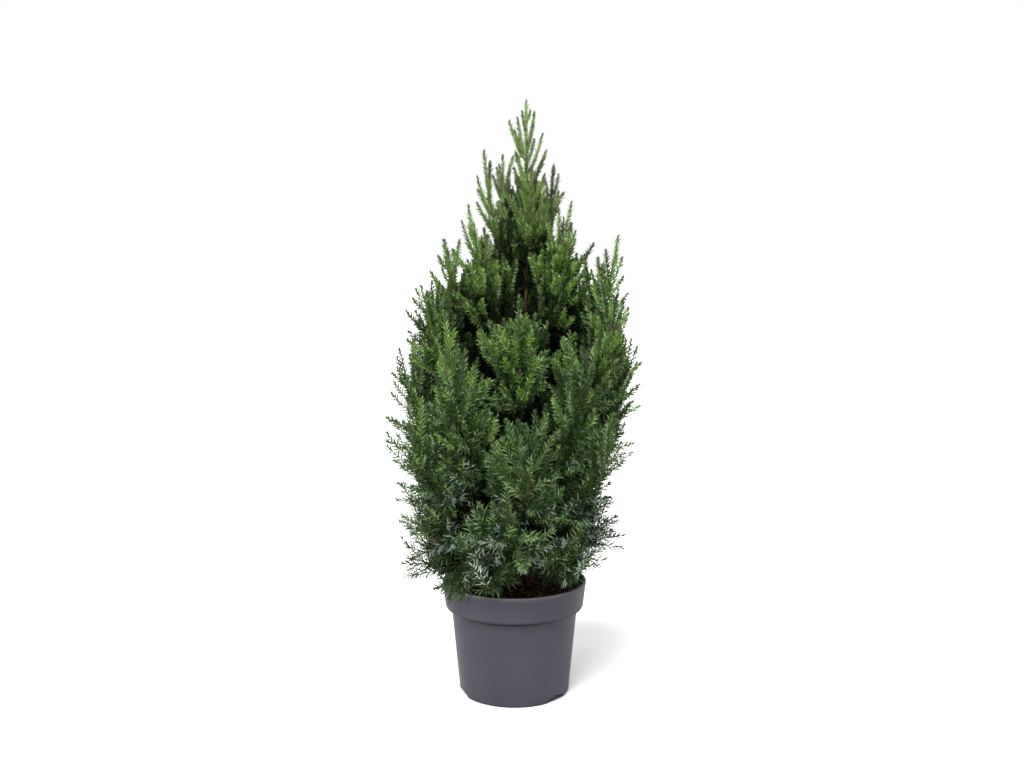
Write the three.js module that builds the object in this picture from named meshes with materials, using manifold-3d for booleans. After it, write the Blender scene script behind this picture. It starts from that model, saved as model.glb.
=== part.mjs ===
// A potted Chinese juniper of the upright, narrow "stricta" habit, in a 19 cm nursery pot.
// Millimetres, +Z up. The origin is the middle of the pot's flat underside. Left and right are as
// seen from the front, which is -Y, so the right is +X.
import * as THREE from "three";
import { mergeVertices } from "three/addons/utils/BufferGeometryUtils.js";
import Module from "manifold-3d";

const wasm = await Module();
wasm.setup();

// Pot
const POT_HEIGHT = 150;
const RIM_RADIUS = 95;
const COLLAR_FOOT_RADIUS = 91.5;
const COLLAR_FOOT = 112;
const WALL_TOP_RADIUS = 83;
const WALL_TOP = 103;
const BASE_RADIUS = 72.5;
const HEEL = 3;
const COLLAR_ROUND = { inset: 1.2, drop: 2.5 };
const LIP_ROUND = { inset: 0.9, drop: 1 };
const WALL = 1.6;
const FLOOR = 3;
const POT_SIDES = 32;
// Three low arched notches in the foot of the wall, each with a flat back and two slots, drain it.
const NOTCH_AZIMUTHS = [-42, 78, 198];
const NOTCH_DISTANCE = 68;
const NOTCH_HALF_WIDTH = 19;
const NOTCH_HEIGHT = 8;
const NOTCH_SEGMENTS = 6;
const SLOT = { offset: 7, width: 6, height: 2.6, foot: 3.4 };

// Soil, a shallow mound a little below the rim
const SOIL_EDGE = 136;
const SOIL_TOP = 141;
const SOIL_FLAT_RADIUS = 13;
const SOIL_SHOULDER = { radius: 52, rise: 0.6 };
// The clear gap between pieces that touch, and how far a cutter stands out of what it cuts
const GAP = 0.3;
const OVERSHOOT = 5;

// Trunk, from a flat cut on the soil to the foot of the leading shoot
const TRUNK_FOOT = SOIL_TOP + GAP;
const TRUNK_TIP = 640;
const TRUNK_FOOT_RADIUS = 6.6;
const TRUNK_TIP_RADIUS = 1.2;
const FLARE = { radius: 3.6, height: 8, lobes: 5, depth: 0.22 };
const LEAN = 15;
const LEAN_TOP = 420;
const SWAY = 2.5;
const TRUNK_TAPER = 0.85;
const TRUNK_SIDES = 10;
const TRUNK_RINGS = 13;
const RING_CROWDING = 1.9;

// Crown: its reach from the trunk's axis to the left and to the right, by height
const TREE_TOP = 769;
const REACH_HEIGHTS = [110, 142, 156, 200, 260, 350, 450, 530, 575, 600, 640, 690, 740, TREE_TOP];
const REACH_LEFT = [98, 112, 146, 148, 158, 180, 165, 142, 112, 84, 64, 44, 22, 4];
const REACH_RIGHT = [98, 104, 120, 140, 124, 146, 144, 130, 120, 66, 60, 36, 18, 4];

// Tiers of boughs from the ground up. leave and tip are heights, rise is the slope of the outer end
// in degrees, and bare is the share of the way without needles. Where bough is true that share is a
// bough of its own, and elsewhere the mass springs straight from the trunk.
const TIERS = [
  { name: "skirt", count: 5, first: 34, leave: 158, tip: 170, rise: 4, bare: 0.34, bough: true },
  { name: "low", count: 5, first: 52, leave: 180, tip: 240, rise: 34, bare: 0.34, bough: true },
  { name: "middle", count: 6, first: 28, leave: 206, tip: 345, rise: 60, bare: 0.34, bough: true },
  { name: "shoulder", count: 6, first: 0, leave: 244, tip: 446, rise: 72, bare: 0.32, bough: false },
  { name: "upper", count: 5, first: 54, leave: 324, tip: 530, rise: 76, bare: 0.28, bough: false },
  { name: "high", count: 4, first: 40, leave: 425, tip: 612, rise: 80, bare: 0.25, bough: false },
  { name: "top", count: 3, first: 30, leave: 540, tip: 690, rise: 83, bare: 0.2, bough: false },
];
// Single shoots: three stand up beyond the outline of the rest, and one hangs over the pot's rim.
const SINGLES = [
  { name: "spire_right", azimuth: -12, leave: 356, tip: 598, reach: 118, rise: 82, bare: 0.3 },
  { name: "spire_left", azimuth: 176, leave: 344, tip: 594, reach: 106, rise: 82, bare: 0.3 },
  { name: "spire_high", azimuth: 190, leave: 505, tip: 705, reach: 54, rise: 86, bare: 0.2 },
  {
    ...{ name: "droop", azimuth: 222, leave: 169, tip: 124, reach: 118, rise: -74, bare: 0.4 },
    ...{ bough: true, floor: 108 },
  },
];
const LEADER_BARE = 0.03;
const CROWN_FLOOR = 140;
const END_HOLD = 0.55;
const AZIMUTH_JITTER = 8;
const LEAVE_JITTER = 6;
const TIP_JITTER = 12;
const LIMB_SIDES = 5;
const LIMB_RINGS = 4;
const LIMB_TIP_RADIUS = 1.5;
const LIMB_SHARE = 0.5;
// How far foliage keeps from boughs, the trunk and the pot
const FOLIAGE_ROOM = 1.1;

// Masses of foliage: a stem with a slim core, and sprays whose whorls of needles stand out
const STEM_RADIUS = 1.3;
const STEM_FOOT_RADIUS = 2;
const CORE_SIDES = 3;
const CORE_REACH = 8;
const CORE_SHARE = 0.28;
const CORE_STATIONS = [0.14, 0.35, 0.6, 0.85];
const CORE_SHAPE = [0.5, 1, 0.9, 0.4];
const CORE_TRIES = [1, 0.7, 0.45, 0.2];
const SPRAYS = 10;
const SPRAY_FIRST = 0.04;
const SPRAY_LAST = 0.8;
const SPRAY_LENGTH_LOW = 84;
const SPRAY_LENGTH_HIGH = 72;
const SPRAY_SHORTENING = 0.7;
const SPRAY_TRIES = [1.3, 1.2, 1.1, 1, 0.9, 0.8, 0.7, 0.6, 0.5, 0.4];
const SPRAY_TURN_JITTER = 10;
const SPRAY_ANGLE = { foot: 56, tip: 38, high: -20 };
const SPRAY_LIFT_LOW = 0.1;
const SPRAY_LIFT_HIGH = 0.6;
const TIP_SPRAY_FOOT = 0.62;
const TIP_SPRAY_REACH = 0.8;
const NEEDLE_REACH_LOW = 15;
const NEEDLE_REACH_HIGH = 10.5;
// Stations of a spray from its foot to its tip: how far along, and how wide against the reach
const SPRAY_STATIONS = [
  { along: 0, size: 0.12 },
  { along: 0.62, size: 1 },
  { along: 0.5, size: 0.4 },
];
const GOLDEN_ANGLE = 137.508;
const SPACE_MARGIN = 0.9;
const ENVELOPE_SLACK = 4;
const SMOOTHING = 0.15;
const SEED = 20;
const SEED_STEP = 7;

const COLOURS = {
  pot: new THREE.Color(0x4b4b50),
  soil: new THREE.Color(0x2b1d15),
  bark: new THREE.Color(0x6b4a33),
  foliageLow: new THREE.Color(0x4f7461),
  foliageHigh: new THREE.Color(0x5f8a3f),
};
const ROUGHNESS = { pot: 0.55, soil: 1, bark: 0.9, foliage: 0.8 };

const UP = new THREE.Vector3(0, 0, 1);

const radians = THREE.MathUtils.degToRad;
const mix = THREE.MathUtils.lerp;

// A small generator with the same numbers on every machine
function seededRandom(seed) {
  let state = seed >>> 0;
  return () => {
    state = (Math.imul(state, 1664525) + 1013904223) >>> 0;
    return state / 2 ** 32;
  };
}

// Solids

function solidOf(geometry) {
  const plain = geometry.clone();
  plain.deleteAttribute("normal");
  plain.deleteAttribute("uv");
  const merged = mergeVertices(plain, 1e-4);
  return new wasm.Manifold(
    new wasm.Mesh({
      numProp: 3,
      vertProperties: new Float32Array(merged.attributes.position.array),
      triVerts: new Uint32Array(merged.index.array),
    }),
  );
}

function geometryOf(solid) {
  const mesh = solid.getMesh();
  const positions = new Float32Array(mesh.numVert * 3);
  for (let i = 0; i < mesh.numVert; i++) {
    positions.set(mesh.vertProperties.subarray(i * mesh.numProp, i * mesh.numProp + 3), i * 3);
  }
  const geometry = new THREE.BufferGeometry();
  geometry.setAttribute("position", new THREE.BufferAttribute(positions, 3));
  geometry.setIndex(new THREE.BufferAttribute(new Uint32Array(mesh.triVerts), 1));
  return geometry;
}

// The largest body of a solid, without the scraps that a cut leaves
function mainBody(solid) {
  return solid.decompose().reduce((a, b) => (a.volume() > b.volume() ? a : b));
}

// A closed skin over rings of points, each ring counterclockwise as seen from the far end. With a
// tip the far end runs out to that point.
function loft(rings, tip = null) {
  const sides = rings[0].length;
  const points = rings.flat();
  const faces = [];
  for (let i = 0; i + 1 < rings.length; i++) {
    for (let j = 0; j < sides; j++) {
      const a = i * sides + j;
      const b = i * sides + ((j + 1) % sides);
      faces.push(a, b, b + sides, a, b + sides, a + sides);
    }
  }
  const last = (rings.length - 1) * sides;
  for (let j = 1; j + 1 < sides; j++) {
    faces.push(0, j + 1, j);
    if (!tip) faces.push(last, last + j, last + j + 1);
  }
  if (tip) {
    for (let j = 0; j < sides; j++) {
      faces.push(last + j, last + ((j + 1) % sides), points.length);
    }
    points.push(tip);
  }
  const geometry = new THREE.BufferGeometry().setFromPoints(points);
  geometry.setIndex(faces);
  return solidOf(geometry);
}

// A ring round centre, across the direction along, with its first point towards side
function ring(centre, along, side, radius, sides, turn = 0) {
  const across = side.clone().addScaledVector(along, -side.dot(along)).normalize();
  const other = along.clone().cross(across);
  return Array.from({ length: sides }, (_, j) => {
    const angle = turn + (2 * Math.PI * j) / sides;
    return centre
      .clone()
      .addScaledVector(across, radius * Math.cos(angle))
      .addScaledVector(other, radius * Math.sin(angle));
  });
}

function lathe(profile, sides) {
  const points = profile.map(([r, z]) => new THREE.Vector2(r, z));
  const geometry = new THREE.LatheGeometry(points, sides);
  geometry.rotateX(Math.PI / 2);
  return solidOf(geometry);
}

// Pot and soil

function potOuterProfile() {
  return [
    [0, 0],
    [BASE_RADIUS - HEEL, 0],
    [BASE_RADIUS - 0.3 * HEEL, 0.3 * HEEL],
    [BASE_RADIUS, HEEL],
    [WALL_TOP_RADIUS, WALL_TOP],
    [COLLAR_FOOT_RADIUS - COLLAR_ROUND.inset, COLLAR_FOOT - COLLAR_ROUND.drop],
    [COLLAR_FOOT_RADIUS, COLLAR_FOOT],
    [RIM_RADIUS, POT_HEIGHT - LIP_ROUND.drop],
    [RIM_RADIUS - LIP_ROUND.inset, POT_HEIGHT],
  ];
}

// The inside of the pot, taken in by a gap all round for the soil
function potInnerProfile(gap, top) {
  const wall = WALL + gap;
  const floor = FLOOR + gap;
  const slope = (WALL_TOP_RADIUS - BASE_RADIUS) / WALL_TOP;
  const collarSlope = (RIM_RADIUS - COLLAR_FOOT_RADIUS) / (POT_HEIGHT - COLLAR_FOOT);
  return [
    [0, floor],
    [BASE_RADIUS - wall - HEEL, floor],
    [BASE_RADIUS + slope * (floor + HEEL) - wall, floor + HEEL],
    [WALL_TOP_RADIUS - wall, WALL_TOP + 0.4 * wall],
    [COLLAR_FOOT_RADIUS - wall, COLLAR_FOOT + 0.7 * wall],
    [COLLAR_FOOT_RADIUS + collarSlope * (top - COLLAR_FOOT) - wall, top],
  ];
}

// A notch is a flat facet in the foot of the wall under a low arch
function notch(azimuth, grow) {
  const width = NOTCH_HALF_WIDTH + grow;
  const height = NOTCH_HEIGHT + grow;
  const depth = RIM_RADIUS - NOTCH_DISTANCE;
  const arch = new THREE.Shape();
  arch.moveTo(-width, -OVERSHOOT);
  arch.lineTo(width, -OVERSHOOT);
  arch.lineTo(width, 0);
  arch.absellipse(0, 0, width, height, 0, Math.PI, false);
  const options = { depth, bevelEnabled: false, curveSegments: NOTCH_SEGMENTS };
  const geometry = new THREE.ExtrudeGeometry(arch, options);
  geometry.rotateX(Math.PI / 2);
  geometry.rotateZ(Math.PI / 2);
  geometry.translate(NOTCH_DISTANCE - grow, 0, 0);
  geometry.rotateZ(radians(azimuth));
  return solidOf(geometry);
}

function notchSlot(azimuth, offset) {
  const geometry = new THREE.BoxGeometry(4 * WALL, SLOT.width, SLOT.height);
  geometry.translate(NOTCH_DISTANCE, offset, SLOT.foot + SLOT.height / 2);
  geometry.rotateZ(radians(azimuth));
  return solidOf(geometry);
}

function makePot() {
  const outer = lathe([...potOuterProfile(), [0, POT_HEIGHT]], POT_SIDES);
  const walled = NOTCH_AZIMUTHS.map((azimuth) => notch(azimuth, WALL));
  const top = POT_HEIGHT + OVERSHOOT;
  const inner = lathe([...potInnerProfile(0, top), [0, top]], POT_SIDES);
  const cuts = [inner.subtract(wasm.Manifold.union(walled))];
  for (const azimuth of NOTCH_AZIMUTHS) {
    cuts.push(notch(azimuth, 0), notchSlot(azimuth, SLOT.offset), notchSlot(azimuth, -SLOT.offset));
  }
  return outer.subtract(wasm.Manifold.union(cuts));
}

function makeSoil() {
  const profile = [
    ...potInnerProfile(GAP, SOIL_EDGE),
    [SOIL_SHOULDER.radius, mix(SOIL_EDGE, SOIL_TOP, SOIL_SHOULDER.rise)],
    [SOIL_FLAT_RADIUS, SOIL_TOP],
    [0, SOIL_TOP],
  ];
  const walled = NOTCH_AZIMUTHS.map((azimuth) => notch(azimuth, WALL + GAP));
  return lathe(profile, POT_SIDES).subtract(wasm.Manifold.union(walled));
}

// Where no foliage goes: the pot and the soil, with a little room round them
function potGuard() {
  const outside = RIM_RADIUS + FOLIAGE_ROOM;
  const inside = COLLAR_FOOT_RADIUS - WALL - FOLIAGE_ROOM;
  const profile = [
    [0, OVERSHOOT],
    [outside, OVERSHOOT],
    [outside, POT_HEIGHT + FOLIAGE_ROOM],
    [inside, POT_HEIGHT + FOLIAGE_ROOM],
    [inside, SOIL_TOP + FOLIAGE_ROOM],
    [0, SOIL_TOP + FOLIAGE_ROOM],
  ];
  return lathe(profile, POT_SIDES);
}

// Trunk

function trunkAxis(height) {
  const lean = THREE.MathUtils.smoothstep(height, SOIL_TOP, LEAN_TOP);
  const along = (height - SOIL_TOP) / (TREE_TOP - SOIL_TOP);
  return new THREE.Vector3(LEAN * lean, SWAY * Math.sin(2 * Math.PI * along), height);
}

function trunkRadius(height) {
  const along = (height - TRUNK_FOOT) / (TRUNK_TIP - TRUNK_FOOT);
  return mix(TRUNK_FOOT_RADIUS, TRUNK_TIP_RADIUS, Math.max(0, along) ** TRUNK_TAPER);
}

function trunkSolid(grow) {
  const rings = [];
  for (let i = 0; i < TRUNK_RINGS; i++) {
    const along = (i / (TRUNK_RINGS - 1)) ** RING_CROWDING;
    const height = mix(TRUNK_FOOT - grow, TRUNK_TIP + grow, along);
    const flare = Math.exp(-(height - TRUNK_FOOT) / FLARE.height);
    const centre = trunkAxis(height);
    rings.push(
      Array.from({ length: TRUNK_SIDES }, (_, j) => {
        const angle = (2 * Math.PI * j) / TRUNK_SIDES;
        const lobe = 1 + FLARE.depth * flare * Math.cos(FLARE.lobes * angle);
        const radius = (trunkRadius(height) + FLARE.radius * flare) * lobe + grow;
        return centre.clone().add(new THREE.Vector3(radius * Math.cos(angle), radius * Math.sin(angle), 0));
      }),
    );
  }
  return loft(rings);
}

// Crown rule

function tableAt(heights, values, height) {
  if (height <= heights[0]) return values[0];
  for (let i = 1; i < heights.length; i++) {
    if (height <= heights[i]) {
      const share = (height - heights[i - 1]) / (heights[i] - heights[i - 1]);
      return mix(values[i - 1], values[i], share);
    }
  }
  return 0;
}

// How far the crown reaches from the trunk's axis at a height, towards an azimuth in radians
function crownReach(height, azimuth) {
  const right = tableAt(REACH_HEIGHTS, REACH_RIGHT, height);
  const left = tableAt(REACH_HEIGHTS, REACH_LEFT, height);
  return mix(left, right, (1 + Math.cos(azimuth)) / 2);
}

function heightShare(height) {
  return THREE.MathUtils.clamp((height - POT_HEIGHT) / (TREE_TOP - POT_HEIGHT), 0, 1);
}

// The way of a bough and its mass: out from the trunk, and up to the crown's edge
function wayOf({ name, azimuth, leave, tip, reach, rise, bare, bough = false, floor = CROWN_FLOOR }) {
  const foot = trunkAxis(leave);
  const out = new THREE.Vector3(Math.cos(azimuth), Math.sin(azimuth), 0);
  const end = trunkAxis(tip).addScaledVector(out, reach);
  const hold = END_HOLD * end.distanceTo(foot);
  const control = end
    .clone()
    .addScaledVector(out, -hold * Math.cos(radians(rise)))
    .addScaledVector(UP, -hold * Math.sin(radians(rise)));
  const side = new THREE.Vector3(-Math.sin(azimuth), Math.cos(azimuth), 0);
  const curve = new THREE.QuadraticBezierCurve3(foot, control, end);
  return { name, curve, side, bare, bough, floor };
}

function boughWays() {
  const random = seededRandom(SEED);
  const jitter = (size) => size * (2 * random() - 1);
  const ways = [];
  for (const tier of TIERS) {
    for (let i = 0; i < tier.count; i++) {
      const azimuth = radians(tier.first + (360 * i) / tier.count + jitter(AZIMUTH_JITTER));
      const leave = tier.leave + jitter(LEAVE_JITTER);
      const tip = tier.tip + jitter(TIP_JITTER);
      const reach = crownReach(tip, azimuth);
      ways.push(wayOf({ ...tier, name: `${tier.name}_${i + 1}`, azimuth, leave, tip, reach }));
    }
  }
  for (const single of SINGLES) {
    ways.push(wayOf({ ...single, azimuth: radians(single.azimuth) }));
  }
  const upright = { azimuth: 0, reach: 0, rise: 90 };
  ways.push(wayOf({ ...upright, name: "leader", leave: TRUNK_TIP, tip: TREE_TOP, bare: LEADER_BARE }));
  return ways;
}

// Boughs

function limbSolid(way, grow) {
  const footRadius = LIMB_SHARE * trunkRadius(way.curve.v0.z);
  const rings = [];
  for (let i = 0; i < LIMB_RINGS; i++) {
    const share = i / (LIMB_RINGS - 1);
    const t = share * way.bare;
    const radius = mix(footRadius, LIMB_TIP_RADIUS, share) + grow;
    rings.push(ring(way.curve.getPoint(t), way.curve.getTangent(t), way.side, radius, LIMB_SIDES));
  }
  return loft(rings);
}

// Foliage

// Where a mass's stem starts along its way: just past the bough's tip, or in the trunk
function massStart(way) {
  return way.bough ? way.bare + GAP / way.curve.getLength() : 0;
}

// Points along the line of a mass, from its stem's foot to its tip
function massLine(way) {
  const start = massStart(way);
  const pieces = way.bough ? 8 : 11;
  return Array.from({ length: pieces + 1 }, (_, i) => way.curve.getPoint(mix(start, 1, i / pieces)));
}

const nearest = new THREE.Vector3();
const piece = new THREE.Line3();

function distanceToLine(point, line) {
  let least = Infinity;
  for (let i = 0; i + 1 < line.length; i++) {
    piece.set(line[i], line[i + 1]).closestPointToPoint(point, true, nearest);
    least = Math.min(least, nearest.distanceTo(point));
  }
  return least;
}

// A mass owns the points that lie nearer to its line than to any other mass's line
function roomAt(point, own, lines) {
  const toOwn = distanceToLine(point, lines[own]);
  const others = lines.map((line, k) => (k === own ? Infinity : distanceToLine(point, line)));
  return Math.min(...others) - toOwn;
}

function insideCrown(point, floor) {
  if (point.z < floor || point.z > TREE_TOP) return false;
  const axis = trunkAxis(point.z);
  const out = Math.hypot(point.x - axis.x, point.y - axis.y);
  const azimuth = Math.atan2(point.y - axis.y, point.x - axis.x);
  return out <= crownReach(point.z, azimuth) + ENVELOPE_SLACK;
}

// A spray: a slim three-sided core that widens into a whorl of three teeth, then runs out to a tip
function sprayOf(foot, direction, lift, length, reach) {
  const end = direction.clone().addScaledVector(UP, lift).normalize();
  const side = direction.clone().cross(UP);
  if (side.lengthSq() < 1e-6) side.set(1, 0, 0);
  side.normalize();
  const at = (share) =>
    foot
      .clone()
      .addScaledVector(direction, length * (share - (share * share) / 2))
      .addScaledVector(end, (length * share * share) / 2);
  const rings = SPRAY_STATIONS.map(({ along, size }) => {
    const forward = direction.clone().lerp(end, along).normalize();
    return ring(at(along), forward, side, size * reach, 3);
  });
  return { rings, tip: at(1) };
}

// The stem swells into a slim core and thins again
function coreOf(way, radii) {
  const start = massStart(way);
  const footRadius = way.bough ? STEM_RADIUS : STEM_FOOT_RADIUS;
  const ringAt = (t, radius) =>
    ring(way.curve.getPoint(t), way.curve.getTangent(t), way.side, radius, CORE_SIDES);
  const rings = [ringAt(start, footRadius)];
  CORE_STATIONS.forEach((share, i) => {
    rings.push(ringAt(mix(way.bare, 1, share), Math.max(STEM_RADIUS, radii[i])));
  });
  return loft(rings);
}

// One mass of foliage in its own space. Its sprays stay clear of what is blocked, and its core
// stays clear of the pot and of the other masses' boughs.
function massSolid(own, ways, lines, blocked, coreBlocked) {
  const way = ways[own];
  const random = seededRandom(SEED + SEED_STEP * (own + 1));
  const at = (share) => way.curve.getPoint(mix(way.bare, 1, share));
  const along = (share) => way.curve.getTangent(mix(way.bare, 1, share));
  const high = heightShare(at(0.7).z);
  const needle = mix(NEEDLE_REACH_LOW, NEEDLE_REACH_HIGH, high);
  const lift = mix(SPRAY_LIFT_LOW, SPRAY_LIFT_HIGH, high);
  const fits = (point) => roomAt(point, own, lines) > SPACE_MARGIN && insideCrown(point, way.floor);

  const radii = CORE_STATIONS.map((share, i) => {
    const room = roomAt(at(share), own, lines);
    return CORE_SHAPE[i] * Math.min(CORE_REACH, CORE_SHARE * room);
  });
  let core;
  for (const scale of CORE_TRIES) {
    core = coreOf(way, radii.map((radius) => scale * radius));
    if (coreBlocked.every((solid) => core.intersect(solid).isEmpty())) break;
  }

  const tipFoot = at(TIP_SPRAY_FOOT);
  const tipAlong = along((1 + TIP_SPRAY_FOOT) / 2);
  let tipSpray;
  for (const scale of CORE_TRIES) {
    const reach = scale * TIP_SPRAY_REACH * needle;
    tipSpray = loft(sprayOf(tipFoot, tipAlong, 0, tipFoot.distanceTo(at(1)), reach).rings, at(1));
    if (tipSpray.intersect(blocked).isEmpty()) break;
  }

  const solids = [core, tipSpray];
  const turnStart = 360 * random();
  for (let k = 0; k < SPRAYS; k++) {
    // Low sprays stand out more, and shorten towards the tip
    const share = mix(SPRAY_FIRST, SPRAY_LAST, k / (SPRAYS - 1));
    const turn = radians(turnStart + k * GOLDEN_ANGLE + SPRAY_TURN_JITTER * (2 * random() - 1));
    const angle = radians(mix(SPRAY_ANGLE.foot, SPRAY_ANGLE.tip, share) + SPRAY_ANGLE.high * high);
    const wish = mix(SPRAY_LENGTH_LOW, SPRAY_LENGTH_HIGH, high) * mix(1, SPRAY_SHORTENING, share);
    const forward = along(share);
    const outward = ring(new THREE.Vector3(), forward, way.side, 1, 1, turn)[0];
    const direction = forward.clone().multiplyScalar(Math.cos(angle));
    direction.addScaledVector(outward, Math.sin(angle)).normalize();
    for (const scale of SPRAY_TRIES) {
      const { rings, tip } = sprayOf(at(share), direction, lift, wish * scale, needle);
      if (!fits(tip) || !rings.slice(1).flat().every(fits)) continue;
      const spray = loft(rings, tip);
      if (!spray.intersect(blocked).isEmpty()) continue;
      solids.push(spray);
      break;
    }
  }
  return wasm.Manifold.union(solids);
}

// The whole plant

function meshOf(name, solid, colour, roughness) {
  const material = new THREE.MeshStandardMaterial({ color: colour, roughness, metalness: 0 });
  const mesh = new THREE.Mesh(geometryOf(solid), material);
  mesh.name = name;
  return mesh;
}

function makeJuniper() {
  const plant = new THREE.Group();
  plant.add(meshOf("pot", makePot(), COLOURS.pot, ROUGHNESS.pot));
  plant.add(meshOf("soil", makeSoil(), COLOURS.soil, ROUGHNESS.soil));
  plant.add(meshOf("trunk", trunkSolid(0), COLOURS.bark, ROUGHNESS.bark));

  const ways = boughWays();
  const lines = ways.map(massLine);
  const clearTrunk = trunkSolid(GAP);
  const limbs = ways.map((way) => (way.bough ? limbSolid(way, FOLIAGE_ROOM) : null));
  for (const way of ways) {
    if (!way.bough) continue;
    const limb = mainBody(limbSolid(way, 0).subtract(clearTrunk));
    plant.add(meshOf(`bough_${way.name}`, limb, COLOURS.bark, ROUGHNESS.bark));
  }

  const pot = potGuard();
  let blocked = wasm.Manifold.union([pot, trunkSolid(FOLIAGE_ROOM), ...limbs.filter(Boolean)]);
  ways.forEach((way, own) => {
    const others = limbs.filter((limb, i) => limb && i !== own);
    let mass = massSolid(own, ways, lines, blocked, [pot, ...others]);
    if (!way.bough) mass = mass.subtract(clearTrunk);
    mass = mainBody(mass.asOriginal().simplify(SMOOTHING));
    blocked = blocked.add(mass);
    const high = heightShare(way.curve.getPoint(0.5).z);
    const colour = COLOURS.foliageLow.clone().lerp(COLOURS.foliageHigh, high);
    plant.add(meshOf(`foliage_${way.name}`, mass, colour, ROUGHNESS.foliage));
  });
  return plant;
}

export default makeJuniper();
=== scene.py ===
# Looks of a potted Chinese juniper of the upright "stricta" habit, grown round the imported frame.
# Sizes are in millimetres until a mesh is made, which is in metres. +Z is up and the front is -Y.
import math
from dataclasses import dataclass, fields

import bmesh
import bpy
import numpy as np
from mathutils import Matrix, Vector, noise


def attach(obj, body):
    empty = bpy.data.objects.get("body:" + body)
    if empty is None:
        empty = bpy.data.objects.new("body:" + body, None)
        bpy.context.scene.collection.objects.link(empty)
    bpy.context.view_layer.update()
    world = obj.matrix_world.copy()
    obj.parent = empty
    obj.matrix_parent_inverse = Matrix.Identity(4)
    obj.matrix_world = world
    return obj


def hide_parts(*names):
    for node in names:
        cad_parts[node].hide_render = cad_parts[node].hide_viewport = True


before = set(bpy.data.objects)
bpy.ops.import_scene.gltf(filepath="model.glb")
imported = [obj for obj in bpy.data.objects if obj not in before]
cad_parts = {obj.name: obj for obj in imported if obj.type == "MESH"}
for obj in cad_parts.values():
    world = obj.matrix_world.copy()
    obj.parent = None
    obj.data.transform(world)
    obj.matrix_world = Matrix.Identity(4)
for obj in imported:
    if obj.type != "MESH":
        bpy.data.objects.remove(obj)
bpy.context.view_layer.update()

MM = 0.001
ROOT = "root"
UP = np.array([0, 0, 1.0])

# Pot
POT_HEIGHT = 150
RIM_RADIUS = 95
COLLAR_FOOT_RADIUS = 91.5
COLLAR_FOOT = 112
WALL_TOP_RADIUS = 83
WALL_TOP = 103
BASE_RADIUS = 72.5
HEEL = 3
WALL = 1.6
FLOOR = 3
NOTCH_AZIMUTHS = (-42, 78, 198)
NOTCH_DISTANCE = 68
NOTCH_HALF_WIDTH = 19
NOTCH_HEIGHT = 8
SLOT_OFFSET = 7
SLOT_WIDTH = 6
SLOT_HEIGHT = 2.6
SLOT_FOOT = 3.4
# Steps of the outer section where the wall passes into the collar
WALL_FLARE = 0.9
COLLAR_STEP = 0.8
COLLAR_ROUND = 6.5
LIP_ROUND = 1.5
LIP_WIDTH = 3.4
LIP_BEAD = 0.5
OVERSHOOT = 5
POT_SIDES = 192
ROUND_STEPS = 5
ARCH_STEPS = 24
# Angles of the round edges, in degrees up from the outward direction
HEEL_ARC = (-75, -5)
COLLAR_ARC = (-80, 0)
LIP_ARC = (0, 90)
# The hollow at the collar's foot: so many walls in from it, and so many of its rounds up
COLLAR_INSIDE = ((2.4, 0.6), (1.2, 1.4))
POT_SHARP = 32

# Soil
SOIL_EDGE = 136
SOIL_TOP = 141
SOIL_FLAT_RADIUS = 13
SOIL_SHOULDER_RADIUS = 52
SOIL_SHOULDER_RISE = 0.6
GAP = 0.3
# Clods and crumbs: height, width, place in the noise, and the roughness, step and count of its layers
CLODS = ((1.5, 11, 3, (0.8, 2.1, 4)), (0.9, 3.1, 9, (0.7, 2.2, 3)))
# The clods fade out over the outer sixth of the bed
EDGE_FADE = 6
# The side of the bed goes this far straight down, and then inwards to its underside
SOIL_SIDE = 6
SOIL_DEPTH = 11
SOIL_FOOT_WALLS = 2.2
SOIL_SHARP = 50
SOIL_RINGS = 62
SOIL_SIDES = 220
# The soil dips to the trunk between these radii, and its crumbs fade out there
TRUNK_DIP = 0.4
TRUNK_DIP_RADII = (5, 14)
CRUMBS = 900
CRUMB_SIZES = (0.7, 2.6)
CRUMB_STRETCH = (0.6, 1.3)
CRUMB_ROUGHNESS = (0.75, 1.2)
CRUMB_MARGIN = 4
CRUMB_SHARP = 40
LITTER = 260
LITTER_LENGTHS = (6, 11)
LITTER_WIDTH = 1.1
LITTER_WIDEST = 0.4
LITTER_LIFT = 0.9
LITTER_TILTS = (-0.1, 0.2)
LITTER_MARGIN = 12
# Nothing lies loose nearer to the trunk than this
LOOSE_FROM = 12

# Trunk
TRUNK_FOOT = SOIL_TOP + GAP
TRUNK_TIP = 640
TRUNK_FOOT_RADIUS = 6.6
TRUNK_TIP_RADIUS = 1.2
FLARE_RADIUS = 3.6
FLARE_HEIGHT = 8
FLARE_LOBES = 5
FLARE_DEPTH = 0.22
LEAN = 15
LEAN_TOP = 420
SWAY = 2.5
TRUNK_TAPER = 0.85
# Relief of the bark, as a share of the limb's radius, and the length of its shreds
TRUNK_RELIEF = 0.13
TRUNK_SHRED = 16
BOUGH_RELIEF = 0.16
BOUGH_SHRED = 9
BOUGH_SHREDDED_LENGTH = 60
SHRED_WAVES = 2.1
SHRED_SHARE = 0.65
FLAKE_WAVES = 4.5
FLAKE_LENGTH = 0.35
# Roughness, step and count of the layers of the shreds' noise
SHRED_LAYERS = (0.9, 2.0, 4)
BARK_SHARP = 60

# Crown: its reach from the trunk's axis to the left and to the right, by height
TREE_TOP = 769
REACH_HEIGHTS = (110, 142, 156, 200, 260, 350, 450, 530, 575, 600, 640, 690, 740, TREE_TOP)
REACH_LEFT = (98, 112, 146, 148, 158, 180, 165, 142, 112, 84, 64, 44, 22, 4)
REACH_RIGHT = (98, 104, 120, 140, 124, 146, 144, 130, 120, 66, 60, 36, 18, 4)

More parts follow.
